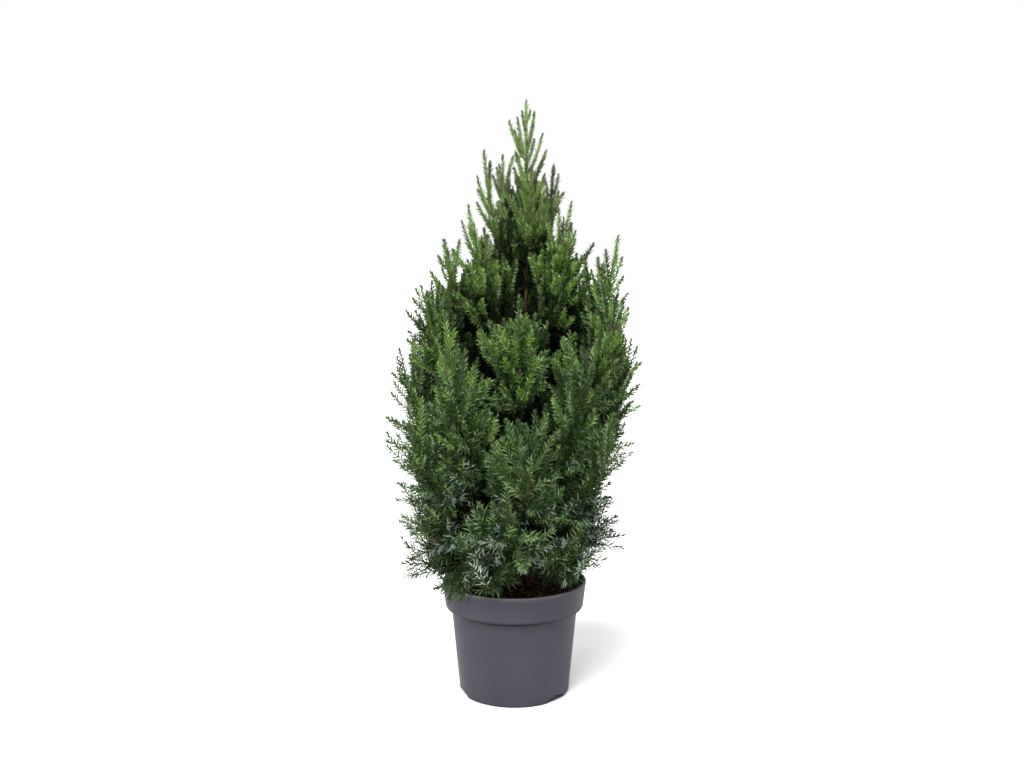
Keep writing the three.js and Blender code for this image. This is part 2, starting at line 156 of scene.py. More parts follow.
# Tiers from the ground up: name, count, first azimuth, heights of leave and tip, slope of the outer
# end in degrees, share of the way without needles, and whether that share is a bough of its own
TIERS = (
    ("skirt", 5, 34, 158, 170, 4, 0.34, True),
    ("low", 5, 52, 180, 240, 34, 0.34, True),
    ("middle", 6, 28, 206, 345, 60, 0.34, True),
    ("shoulder", 6, 0, 244, 446, 72, 0.32, False),
    ("upper", 5, 54, 324, 530, 76, 0.28, False),
    ("high", 4, 40, 425, 612, 80, 0.25, False),
    ("top", 3, 30, 540, 690, 83, 0.2, False),
)
CROWN_FLOOR = 140
DROOP_FLOOR = 108
# Single shoots: name, azimuth, leave, tip, reach, rise, bare, bough, floor
SINGLES = (
    ("spire_right", -12, 356, 598, 118, 82, 0.3, False, CROWN_FLOOR),
    ("spire_left", 176, 344, 594, 106, 82, 0.3, False, CROWN_FLOOR),
    ("spire_high", 190, 505, 705, 54, 86, 0.2, False, CROWN_FLOOR),
    ("droop", 222, 169, 124, 118, -74, 0.4, True, DROOP_FLOOR),
    ("leader", 0, TRUNK_TIP, TREE_TOP, 0, 90, 0.03, False, CROWN_FLOOR),
)
END_HOLD = 0.55
AZIMUTH_JITTER = 8
LEAVE_JITTER = 6
TIP_JITTER = 12
LIMB_TIP_RADIUS = 1.5
LIMB_SHARE = 0.5
GOLDEN_ANGLE = 137.508
ENVELOPE_SLACK = 4
SEED = 20
SEED_STEP = 7

# Sprays: the main side shoots of a mass, as in the solids
SPRAYS = 10
SPRAY_FIRST = 0.04
SPRAY_LAST = 0.8
SPRAY_LENGTH_LOW = 84
SPRAY_LENGTH_HIGH = 72
SPRAY_SHORTENING = 0.7
SPRAY_TRIES = (1.3, 1.2, 1.1, 1, 0.9, 0.8, 0.7, 0.6, 0.5, 0.4)
SPRAY_TURN_JITTER = 10
SPRAY_ANGLE_FOOT = 56
SPRAY_ANGLE_TIP = 38
SPRAY_ANGLE_HIGH = -20
SPRAY_LIFT_LOW = 0.1
SPRAY_LIFT_HIGH = 0.6
SPACE_MARGIN = 0.9
SPRAY_CLEARANCE = 3
# A spray over the lowest height of twigs may be cut to shares of its length down to the least
SPRAY_CUT_STEP = 0.1
SPRAY_CUT_LEAST = 0.3
LINE_PIECES = 11
LINE_PIECES_ON_BOUGH = 8
# Share of a mass's way at which its height is taken
MASS_HEIGHT_AT = 0.7

# Finer twigs. Triples are for the foot, the middle and the top of the crown.
HEIGHT_STOPS = (0, 0.35, 1)
INNER_FROM = 0.35
TWIG_TRIES = (1.15, 1, 0.85, 0.7, 0.55, 0.4)
TWIG_MARGIN = -9
LEAST_TWIG = 14
TWIG_CLEARANCE = 2
NEARLY_UPRIGHT = 0.05
TWIG_PLACES = (0.2, 0.8)
TWIG_TURN_JITTER = 22
TWIG_ANGLE_JITTER = 8
TWIG_LIFTS = (0.6, 1.4)
TWIG_LENGTHS = (0.75, 1.2)
TWIGS_FROM = 0.14
# Shares without needles at the foot of a stem, of the leader, of a spray and of a side shoot
STEM_BARE = 0.12
LEADER_BARE = 0.02
SPRAY_BARE = 0.12
SHOOT_BARE = 0.1
# How far inside the crown's outline the tips stop: the least and the most
TIP_DEPTH_LEAST = (24, 8, 5)
TIP_DEPTH_MOST = (50, 28, 22)
DROOP_INSET = 14
# The outline of the crown between the spires, which stand out of it
CORE_HEIGHTS = (500, 543, 562, 581, 620, TREE_TOP)
CORE_LEFT = (160, 116, 84, 68, 62, 62)
CORE_RIGHT = (150, 94, 76, 66, 60, 60)
# Shoots that stand out of the outline in the photo: x and height of their tips, as the camera sees
# them on the upright plane through the trunk's foot
ACCENT_TIPS = (
    (25, 755), (4, 748), (-6, 744), (35, 727), (-15, 701), (40, 707), (-22, 685), (-47, 674), (56, 677),
    (-59, 637), (-67, 617), (73, 643), (57, 634), (73, 615), (-90, 594), (-79, 580), (138, 571), (93, 578),
    (80, 576), (112, 562), (-107, 553), (-126, 531), (-127, 503), (-136, 477), (-149, 455), (141, 513),
    (145, 492), (151, 466), (151, 420), (153, 385), (141, 345), (153, 318), (125, 278), (127, 252),
    (128, 214), (142, 208), (112, 167), (-143, 417), (-159, 396), (-164, 363), (-166, 344), (-165, 326),
    (-146, 299), (-151, 277), (-152, 256), (-147, 235), (-140, 220), (-139, 193), (-143, 153),
)
INNER_LOWEST = 158
INNER_HIGHEST = 640
INNER_SPACINGS = (0.6, 1.8, 2.2)
INNER_LENGTH = (88, 60, 36)
INNER_RISE = (26, 50, 66)
INNER_TURN_JITTER = 20
INNER_RISE_JITTER = 10
INNER_LENGTHS = (0.6, 1.15)
INNER_LIFT = 0.3
INNER_BARE = 0.22
# Single shoots choose among this many places on each stem, between these shares of its way. One
# point of misfit is this much from the wished length, rise and side. Running inwards costs more points.
FEET = 48
FEET_FROM = 0.7
FEET_UNTIL = 0.94
LENGTH_MISFIT = 10
RISE_MISFIT = 8
SIDE_MISFIT = 9
INWARD_COST = 8
ACCENT_LENGTH = (84, 62, 52)
RISE_HEIGHTS = (160, 260, 450, 620)
ACCENT_RISES = (2, 20, 56, 76)
BENDS = (0, 0.12, 0.25, 0.5)
# A tip in the outline may lie this far before or behind the trunk
ACCENT_DEPTH = 45
# Shoots to places spread evenly over the crown, which close the valleys between the masses. Every
# third one ends deeper.
COVER_SHOOTS = 520
COVER_LOWEST = 205
COVER_HIGHEST = 690
COVER_DEPTHS = (6, 34)
FILL_DEPTHS = (38, 88)
FILL_EVERY = 3
COVER_DEEPEST = 0.7
COVER_STEPS = 200
COVER_LENGTH = (80, 70, 56)
COVER_RISES = (10, 40, 68, 80)
# Upright hollows between the brushes: their size, where they start in the noise that places them,
# and how much deeper the twigs stop in them
HOLLOW_SIZE = (30, 30, 72)
HOLLOW_FROM = 0.06
HOLLOW_FULL = 0.26
HOLLOW_DEPTH = (12, 14, 4)
# The crown is open in front of the trunk here, as in the photo
OPENING_BEFORE = 2
OPENING_HALF_WIDTH = 9
OPENING_SPREAD = 0.12
OPENING_HEIGHTS = (508, 556)
# Upright brushes on the front of the crown and behind the opening: the places of their tips
FRONT_TIPS = (
    (36, -124, 348), (-14, -130, 332), (-68, -118, 352), (94, -92, 376), (-137, -58, 359),
    (14, 60, 548), (32, 50, 540), (-4, 66, 538), (22, 74, 530), (40, 64, 522), (19, 48, 518), (16, 62, 524),
)
FRONT_LENGTH = 96
FRONT_RISE = 78
FRONT_BEND = 0.1
# Shoots that hang over the rim at the left front. Their heights and reaches go round by these steps.
HANGING = 12
HANGING_AZIMUTHS = (206, 234)
HANGING_HEIGHTS = (143, 172)
HANGING_REACH = (98, 106)
HANGING_HEIGHT_STEP = 0.618
HANGING_REACH_STEP = 0.382
HANGING_LENGTH = 46
HANGING_RISE = -24
HANGING_BEND = -0.3
# The twigs on the spires are short from this height up
SPIRE_THIN_FROM = 505
SPIRE_THINNING = 0.6
# Near the upper outline twigs stop further inside, so that single ropes stand against the sky
ROPES_FROM = 0.5
ROPES_FULL = 0.66
ROPES_INSET = 9
# The lowest that twigs reach: over the soil, over and beyond the rim, and higher in front, where the
# soil shows
LOWEST_INSIDE = 150
LOWEST_OUTSIDE = 163
MOUTH_RADIUS = 64
MOUTH_SOFTNESS = 12
CLEARING_AZIMUTH = -66
CLEARING_SPREAD = 44
CLEARING_RISE = 20
DROOP_LOWEST = 138
# Shares of their length at which some stems and the sprays of some masses end
STEM_CUTS = {"droop": 0.72, "skirt_4": 0.74, "skirt_5": 0.8, "top_1": 0.86}
SPRAY_CUTS = {"leader": 0.72, "top_1": 0.8, "top_2": 0.85, "top_3": 0.85, "droop": 0.75}

# Camera, fitted to the pot in the photo
CAMERA_PLACE = (-3.1, -1481.5, 574.6)
CAMERA_PITCH = 6.36
FOCAL_PIXELS = 1144.6
IMAGE_WIDTH = 1024
SENSOR = 36

# Needles stand in whorls of three, each whorl turned against the one before
NEEDLES_A_WHORL = 3
NEEDLE_LENGTH = (15, 9.8, 7)
NEEDLE_ANGLE = (56, 45, 32)
WHORL_SPACING = (3.7, 2.4, 1.8)
NEEDLE_WIDTH = (1.6, 1.8, 2.0)
NEEDLE_DEPTH = 0.62
NEEDLE_ROLL = 20
NEEDLE_WIDEST = (0.38, 0.5, 0.56)
NEEDLE_PLACE_JITTER = 0.3
NEEDLE_TURN_JITTER = 16
NEEDLE_SLOPES = (0.8, 1.2)
NEEDLE_LENGTHS = (0.82, 1.15)
NEEDLE_WIDTHS = (0.85, 1.15)
# The last needles of a shoot stand closer to it and are shorter, by these shares
TIP_SLOPE = 0.45
TIP_LENGTH = 0.75
LAST_NEEDLE = 0.995
LEAST_WHORLS = 2
FIRST_WHORL = 0.4
# Needles inside the crown are broader, which closes it with fewer of them
INNER_WIDENING = 1.5
INNER_WIDE_FROM = 30
INNER_WIDE_FULL = 64
NEEDLE_FACES = 2
# A needle shows its bloomed inner side where it points away from the outside and the light above
BLOOM_UP = 0.6
BLOOM_BELOW = -0.15
BLOOM_SPREAD = 0.32


# Numbers

class Seeded:
    """A small generator with the same numbers on every machine."""

    def __init__(self, seed):
        self.state = seed

    def __call__(self):
        self.state = (self.state * 1664525 + 1013904223) % 2**32
        return self.state / 2**32


def mix(a, b, share):
    return a + (b - a) * share


def by_height(values, high):
    return np.interp(high, HEIGHT_STOPS, values)


def unit(v):
    length = np.linalg.norm(v, axis=-1, keepdims=True)
    return v / np.maximum(length, 1e-9)


def smoothstep(x, low, high):
    t = np.clip((x - low) / (high - low), 0, 1)
    return t * t * (3 - 2 * t)


# Trunk and crown rule, the same as that of the solids

def trunk_axis(height):
    height = np.asarray(height, float)
    along = (height - SOIL_TOP) / (TREE_TOP - SOIL_TOP)
    x = LEAN * smoothstep(height, SOIL_TOP, LEAN_TOP)
    y = SWAY * np.sin(2 * math.pi * along)
    return np.stack([x, y, height], axis=-1)


def trunk_radius(height):
    along = np.maximum(0, (np.asarray(height, float) - TRUNK_FOOT) / (TRUNK_TIP - TRUNK_FOOT))
    return mix(TRUNK_FOOT_RADIUS, TRUNK_TIP_RADIUS, along**TRUNK_TAPER)


def reach_from(height, azimuth, heights, left, right):
    """A reach that is given to the left and to the right at some heights, at any height and azimuth."""
    to_left = np.interp(height, heights, left, right=0)
    to_right = np.interp(height, heights, right, right=0)
    return mix(to_left, to_right, (1 + np.cos(azimuth)) / 2)


def crown_reach(height, azimuth):
    return reach_from(height, azimuth, REACH_HEIGHTS, REACH_LEFT, REACH_RIGHT)


def core_reach(height, azimuth):
    """The reach of the crown without its spires."""
    core = reach_from(height, azimuth, CORE_HEIGHTS, CORE_LEFT, CORE_RIGHT)
    return np.minimum(crown_reach(height, azimuth), core)


def height_share(height):
    return np.clip((height - POT_HEIGHT) / (TREE_TOP - POT_HEIGHT), 0, 1)


@dataclass
class Way:
    """The way of a bough and its mass: a curve with three control points."""

    name: str
    foot: np.ndarray
    control: np.ndarray
    end: np.ndarray
    side: np.ndarray
    bare: float
    bough: bool
    floor: float

    def point(self, t):
        t = np.asarray(t, float)[..., None]
        return (1 - t) ** 2 * self.foot + 2 * t * (1 - t) * self.control + t**2 * self.end

    def tangent(self, t):
        t = np.asarray(t, float)[..., None]
        return unit((1 - t) * (self.control - self.foot) + t * (self.end - self.control))

    def length(self):
        return np.linalg.norm(np.diff(self.point(np.linspace(0, 1, 201)), axis=0), axis=1).sum()

    def start(self):
        """Where the mass's stem starts: just past the bough's tip, or in the trunk."""
        return self.bare + GAP / self.length() if self.bough else 0


def way_of(name, azimuth, leave, tip, reach, rise, bare, bough, floor):
    foot = trunk_axis(leave)
    out = np.array([math.cos(azimuth), math.sin(azimuth), 0])
    end = trunk_axis(tip) + reach * out
    hold = END_HOLD * np.linalg.norm(end - foot)
    slope = math.radians(rise)
    control = end - hold * math.cos(slope) * out - hold * math.sin(slope) * UP
    side = np.array([-math.sin(azimuth), math.cos(azimuth), 0])
    return Way(name, foot, control, end, side, bare, bough, floor)


def bough_ways():
    random = Seeded(SEED)
    ways = []
    for name, count, first, leave, tip, rise, bare, bough in TIERS:
        for i in range(count):
            azimuth = math.radians(first + 360 * i / count + AZIMUTH_JITTER * (2 * random() - 1))
            from_height = leave + LEAVE_JITTER * (2 * random() - 1)
            to_height = tip + TIP_JITTER * (2 * random() - 1)
            reach = float(crown_reach(to_height, azimuth))
            numbered = f"{name}_{i + 1}"
            rest = (from_height, to_height, reach, rise, bare, bough, CROWN_FLOOR)
            ways.append(way_of(numbered, azimuth, *rest))
    for name, azimuth, *rest in SINGLES:
        ways.append(way_of(name, math.radians(azimuth), *rest))
    return ways


def mass_line(way):
    """The line of a mass's stem, by which the space between masses is shared out."""
    pieces = LINE_PIECES_ON_BOUGH if way.bough else LINE_PIECES
    return way.point(np.linspace(way.start(), 1, pieces + 1))


def distance_to_line(points, line):
    """Least distance of each point to a line of straight pieces."""
    a = line[:-1]
    along = line[1:] - a
    to_point = points[:, None] - a
    t = np.clip((to_point * along).sum(-1) / (along**2).sum(-1), 0, 1)
    return np.linalg.norm(to_point - t[..., None] * along, axis=-1).min(axis=1)


def distances_to(points, lines):
    """The distance of each point to each mass's line."""
    return np.stack([distance_to_line(points, line) for line in lines], axis=1)


def room_at(points, own, lines):
    """How much nearer each point is to its own mass's line than to any other's."""
    distances = distances_to(points, lines)
    everyone = np.arange(len(points))
    to_own = distances[everyone, own].copy()
    distances[everyone, own] = np.inf
    return distances.min(axis=1) - to_own


def round_trunk(points):
    """How far each point is from the trunk's axis, and its azimuth round it."""
    from_axis = points - trunk_axis(points[:, 2])
    return np.hypot(from_axis[:, 0], from_axis[:, 1]), np.arctan2(from_axis[:, 1], from_axis[:, 0])


def depth_in(reach_rule, points):
    """How far inside a reach each point is. It is negative outside."""
    out, azimuth = round_trunk(points)
    return reach_rule(points[:, 2], azimuth) - out


def clear_of_pot(points, room):
    """True where a point keeps that far from the pot and the soil."""
    radius = np.hypot(points[:, 0], points[:, 1])
    over_rim = points[:, 2] > POT_HEIGHT + room
    in_mouth = (radius < COLLAR_FOOT_RADIUS - WALL - room) & (points[:, 2] > SOIL_TOP + room)
    outside = radius > RIM_RADIUS + room
    return over_rim | in_mouth | outside


def inside_crown(points, floor):
    high_enough = (points[:, 2] >= floor) & (points[:, 2] <= TREE_TOP)
    return high_enough & (depth_in(crown_reach, points) >= -ENVELOPE_SLACK)


def lowest_twig(points, floor):
    """The least height of a twig at each point. The mass that hangs over the rim has its own floor."""
    radius = np.hypot(points[:, 0], points[:, 1])
    azimuth = np.degrees(np.arctan2(points[:, 1], points[:, 0]))
    off = (azimuth - CLEARING_AZIMUTH + 180) % 360 - 180
    rise = CLEARING_RISE * np.exp(-((off / CLEARING_SPREAD) ** 2))
    over_rim = smoothstep(radius, MOUTH_RADIUS - MOUTH_SOFTNESS, MOUTH_RADIUS + MOUTH_SOFTNESS)
    least = mix(LOWEST_INSIDE, LOWEST_OUTSIDE, over_rim)
    return np.where(floor < CROWN_FLOOR, DROOP_LOWEST, least + rise)


def hollow_at(points):
    """How far each place is in one of the hollows between the brushes, from 0 to 1."""
    field = np.array([noise.noise(Vector(p)) for p in points / np.array(HOLLOW_SIZE)])
    return smoothstep(field, HOLLOW_FROM, HOLLOW_FULL)


def in_opening(points):
    """True in front of the trunk at the heights where the crown is open."""
    axis = trunk_axis(points[:, 2])
    before = points[:, 1] < axis[:, 1] - OPENING_BEFORE
    beside = np.abs(points[:, 0] - axis[:, 0]) < OPENING_HALF_WIDTH - OPENING_SPREAD * points[:, 1]
    low, high = OPENING_HEIGHTS
    return before & beside & (points[:, 2] > low) & (points[:, 2] < high)


# Shoots. Each is a curve a + b s + c s^2 with s from 0 to 1.

QUARTERS = (0, 0.25, 0.5, 0.75, 1)


@dataclass
class Shoots:
    a: np.ndarray
    b: np.ndarray
    c: np.ndarray
    mass: np.ndarray
    order: np.ndarray
    leafy_from: np.ndarray

    def point(self, i, s):
        s = np.asarray(s, float)[..., None]
        return self.a[i] + self.b[i] * s + self.c[i] * s * s

    def tangent(self, i, s):
        s = np.asarray(s, float)[..., None]
        return unit(self.b[i] + 2 * self.c[i] * s)

    def all_at(self, s):
        """The point of every shoot at the same share of its way."""
        return self.point(slice(None), np.full(len(self.a), s))

    def lengths(self):
        ends = [self.all_at(s) for s in QUARTERS]
        return sum(np.linalg.norm(q - p, axis=1) for p, q in zip(ends, ends[1:]))


def joined(groups):
    return Shoots(*(np.concatenate([getattr(g, f.name) for g in groups]) for f in fields(Shoots)))


def kept_out(shoots):
    """The shoots that keep out of the opening in front of the trunk."""
    inside = np.any([in_opening(shoots.all_at(s)) for s in QUARTERS[1:]], axis=0)
    return Shoots(*(getattr(shoots, f.name)[~inside] for f in fields(Shoots)))


def bent_shoots(foot, direction, lift, length, mass, order, leafy_from):
    """Shoots that leave their foot in a direction and bend upwards."""
    end = unit(direction + lift[:, None] * UP)
    b = direction * length[:, None]
    c = (end - direction) * length[:, None] / 2
    count = len(foot)
    return Shoots(foot, b, c, mass, np.full(count, order), np.full(count, leafy_from))


def frames_of(forward, side):
    """Two directions across each forward direction, the first as near to side as can be."""
    across = unit(side - (side * forward).sum(-1, keepdims=True) * forward)
    return across, np.cross(forward, across)


def stem_shoots(ways):
    """The stem of each mass, with needles on its outer part."""
    curves, leafy = [], []
    for way in ways:
        start = way.start()
        p0 = way.point(start)
        p1 = mix(way.control, way.end, start)
        cut_at = STEM_CUTS.get(way.name, 1)
        p2 = mix(mix(p0, p1, cut_at), mix(p1, way.end, cut_at), cut_at)
        p1 = mix(p0, p1, cut_at)
        curves.append((p0, 2 * (p1 - p0), p0 - 2 * p1 + p2))
        foliage_from = (way.bare - start) / (1 - start)
        leafy.append(LEADER_BARE if way.name == "leader" else mix(foliage_from, 1, STEM_BARE))
    count = len(ways)
    a, b, c = np.stack(curves, axis=1)
    return Shoots(a, b, c, np.arange(count), np.zeros(count, int), np.array(leafy))


def free_share(foot, direction, end, length, floor):
    """The share of a spray's length that keeps over the lowest height of twigs."""
    shares = np.arange(1, SPRAY_CUT_LEAST, -SPRAY_CUT_STEP)
    tips = foot + shares[:, None] * length * (direction + end) / 2
    free = tips[:, 2] >= lowest_twig(tips, np.full(len(shares), floor))
    return shares[np.argmax(free)] if free.any() else shares[-1]


def spray_shoots(ways, lines):
    """The sprays of every mass, by the rule and the draws of the solids."""
    sprays = []
    for own, way in enumerate(ways):
        random = Seeded(SEED + SEED_STEP * (own + 1))
        high = float(height_share(way.point(mix(way.bare, 1, MASS_HEIGHT_AT))[2]))
        lift = mix(SPRAY_LIFT_LOW, SPRAY_LIFT_HIGH, high)
        turn_start = 360 * random()
        for k in range(SPRAYS):
            share = mix(SPRAY_FIRST, SPRAY_LAST, k / (SPRAYS - 1))
            jitter = SPRAY_TURN_JITTER * (2 * random() - 1)
            turn = math.radians(turn_start + k * GOLDEN_ANGLE + jitter)
            angle = math.radians(mix(SPRAY_ANGLE_FOOT, SPRAY_ANGLE_TIP, share) + SPRAY_ANGLE_HIGH * high)
            wish = mix(SPRAY_LENGTH_LOW, SPRAY_LENGTH_HIGH, high) * mix(1, SPRAY_SHORTENING, share)
            t = mix(way.bare, 1, share)
            foot, forward = way.point(t), way.tangent(t)
            across, other = frames_of(forward, way.side)
            outward = across * math.cos(turn) + other * math.sin(turn)
            direction = unit(forward * math.cos(angle) + outward * math.sin(angle))
            end = unit(direction + lift * UP)
            for length in (wish * scale for scale in SPRAY_TRIES):
                tested = np.array([foot + length * (direction + end) / 2, foot + length * direction * 0.5])
                fits = room_at(tested, own, lines).min() > SPACE_MARGIN
                fits = fits and inside_crown(tested, way.floor).all()
                if fits and clear_of_pot(tested, SPRAY_CLEARANCE).all():
                    length *= free_share(foot, direction, end, length, way.floor)
                    length *= SPRAY_CUTS.get(way.name, 1)
                    sprays.append((foot, direction, lift, length, own))
                    break
    return bent_shoots(*(np.array(values) for values in zip(*sprays)), 1, SPRAY_BARE)


@dataclass
class TwigRule:
    """How side shoots stand on their parents, at the foot, the middle and the top of the crown."""

    spacing: tuple
    length: tuple
    shortening: float
    angle: tuple
    lift: tuple
    bare_tip: tuple


ON_STEMS = TwigRule((3, 5.6, 11), (82, 78, 50), 0.7, (50, 29, 20), (0.25, 1.3, 1), (20, 26, 46))
ON_SHOOTS = TwigRule((6.2, 8, 11.5), (46, 44, 33), 0.55, (42, 24, 18), (0.2, 1, 0.8), (19, 23, 26))
ON_ACCENTS = TwigRule((17, 13, 15), (30, 44, 34), 0.55, (38, 25, 20), (0.2, 0.8, 0.7), (46, 30, 24))


def shoots_to(tips, full, rises, bends, choices, ways):
    """One shoot to the best of each row of possible tips, from the place on a stem that suits its
    length, its rise and its side."""
    along = np.linspace(0, FEET_UNTIL, FEET)
    starts = [mix(way.start(), way.bare, FEET_FROM) for way in ways]
    foots = np.concatenate([way.point(mix(start, 1, along)) for way, start in zip(ways, starts)])
    masses = np.repeat(np.arange(len(ways)), FEET)
    curves, mass = [], []
    for tip, wished in zip(tips, full):
        ends = choices(tip, foots)
        way_to = ends - foots
        length = np.linalg.norm(way_to, axis=1)
        rise = np.degrees(np.arcsin(way_to[:, 2] / length))
        off_rise = np.abs(rise - np.interp(tip[2], RISE_HEIGHTS, rises))
        from_axis = unit((ends - trunk_axis(ends[:, 2]))[:, :2])
        inwards = (from_axis * way_to[:, :2]).sum(axis=1) < 0
        sideways = np.abs(from_axis[:, 0] * way_to[:, 1] - from_axis[:, 1] * way_to[:, 0])
        cost = np.abs(length - wished) / LENGTH_MISFIT + off_rise / RISE_MISFIT
        cost = cost + INWARD_COST * inwards + sideways / SIDE_MISFIT
        best = int(np.argmin(cost))
        bend = np.interp(tip[2], RISE_HEIGHTS, bends) * length[best] * UP
        curves.append((foots[best], way_to[best] - bend, bend))
        mass.append(masses[best])
    count = len(curves)
    a, b, c = np.stack(curves, axis=1)
    return Shoots(a, b, c, np.array(mass), np.ones(count, int), np.full(count, SHOOT_BARE))


def shoots_alike(tips, length, rise, bend, ways):
    """Shoots to tips that stay where they are, all with the same wishes."""
    stops = len(RISE_HEIGHTS)
    return shoots_to(tips, np.full(len(tips), length), [rise] * stops, [bend] * stops, unmoved, ways)


def accent_shoots(ways):
    """The shoots that stand out of the outline. Each tip may slide along the camera's sight line."""
    camera = np.array(CAMERA_PLACE)
    tips = np.array([(x, 0, height) for x, height in ACCENT_TIPS], float)

    def slid(tip, foots):
        depth = np.clip(foots[:, 1], -ACCENT_DEPTH, ACCENT_DEPTH)
        share = (depth - camera[1]) / -camera[1]
        return camera + share[:, None] * (tip - camera)

    full = by_height(ACCENT_LENGTH, height_share(tips[:, 2]))
    return shoots_to(tips, full, ACCENT_RISES, BENDS, slid, ways)


def cover_shoots(ways, rng):
    """Shoots to places spread evenly over the crown, all round."""
    number = np.arange(COVER_SHOOTS)
    steps = np.linspace(COVER_LOWEST, COVER_HIGHEST, COVER_STEPS)
    area = np.cumsum(crown_reach(steps, math.pi / 2))
    height = np.interp((number + 0.5) / COVER_SHOOTS * area[-1], area, steps)
    azimuth = np.radians(GOLDEN_ANGLE * number)
    reach = core_reach(height, azimuth)
    out = np.stack([np.cos(azimuth), np.sin(azimuth), np.zeros(COVER_SHOOTS)], axis=1)
    high = height_share(height)
    depth = rng.uniform(*COVER_DEPTHS, COVER_SHOOTS)
    depth = np.where(number % FILL_EVERY == 0, rng.uniform(*FILL_DEPTHS, COVER_SHOOTS), depth)
    depth += by_height(HOLLOW_DEPTH, high) * hollow_at(trunk_axis(height) + reach[:, None] * out)
    depth += ROPES_INSET * smoothstep(high, ROPES_FROM, ROPES_FULL)
    depth = np.minimum(depth, COVER_DEEPEST * reach)
    tips = trunk_axis(height) + (reach - depth)[:, None] * out
    shoots = shoots_to(tips, by_height(COVER_LENGTH, high), COVER_RISES, BENDS, unmoved, ways)
    return kept_out(shoots)


def unmoved(tip, foots):
    return np.broadcast_to(tip, foots.shape)


def front_shoots(ways):
    """The upright brushes on the front of the crown and behind the opening."""
    return shoots_alike(np.array(FRONT_TIPS, float), FRONT_LENGTH, FRONT_RISE, FRONT_BEND, ways)


def hanging_shoots(ways):
    """The cluster that hangs over the rim at the left front."""
    number = np.arange(HANGING)
    azimuth = np.radians(np.linspace(*HANGING_AZIMUTHS, HANGING))
    height = mix(*HANGING_HEIGHTS, number * HANGING_HEIGHT_STEP % 1)
    reach = mix(*HANGING_REACH, number * HANGING_REACH_STEP % 1)
    tips = np.stack([reach * np.cos(azimuth), reach * np.sin(azimuth), height], axis=1)
    return shoots_alike(tips, HANGING_LENGTH, HANGING_RISE, HANGING_BEND, ways)


def jitter(rng, most, count):
    return rng.uniform(-most, most, count)


def inner_shoots(lines, rng):
    """Short shoots all the way up the trunk, which close the inside of the crown."""
    heights = [INNER_LOWEST]
    while heights[-1] < INNER_HIGHEST:
        heights.append(heights[-1] + by_height(INNER_SPACINGS, height_share(heights[-1])))
    count = len(heights)
    height = np.array(heights)
    high = height_share(height)
    turn = np.radians(GOLDEN_ANGLE * np.arange(count) + jitter(rng, INNER_TURN_JITTER, count))
    rise = np.radians(by_height(INNER_RISE, high) + jitter(rng, INNER_RISE_JITTER, count))
    direction = np.stack([np.cos(rise) * np.cos(turn), np.cos(rise) * np.sin(turn), np.sin(rise)], axis=1)
    length = by_height(INNER_LENGTH, high) * rng.uniform(*INNER_LENGTHS, count)
    foot = trunk_axis(height)
    nearest = np.argmin(distances_to(foot + length[:, None] * direction, lines), axis=1)
    lift = np.full(count, INNER_LIFT)
    return kept_out(bent_shoots(foot, direction, lift, length, nearest, 2, INNER_BARE))


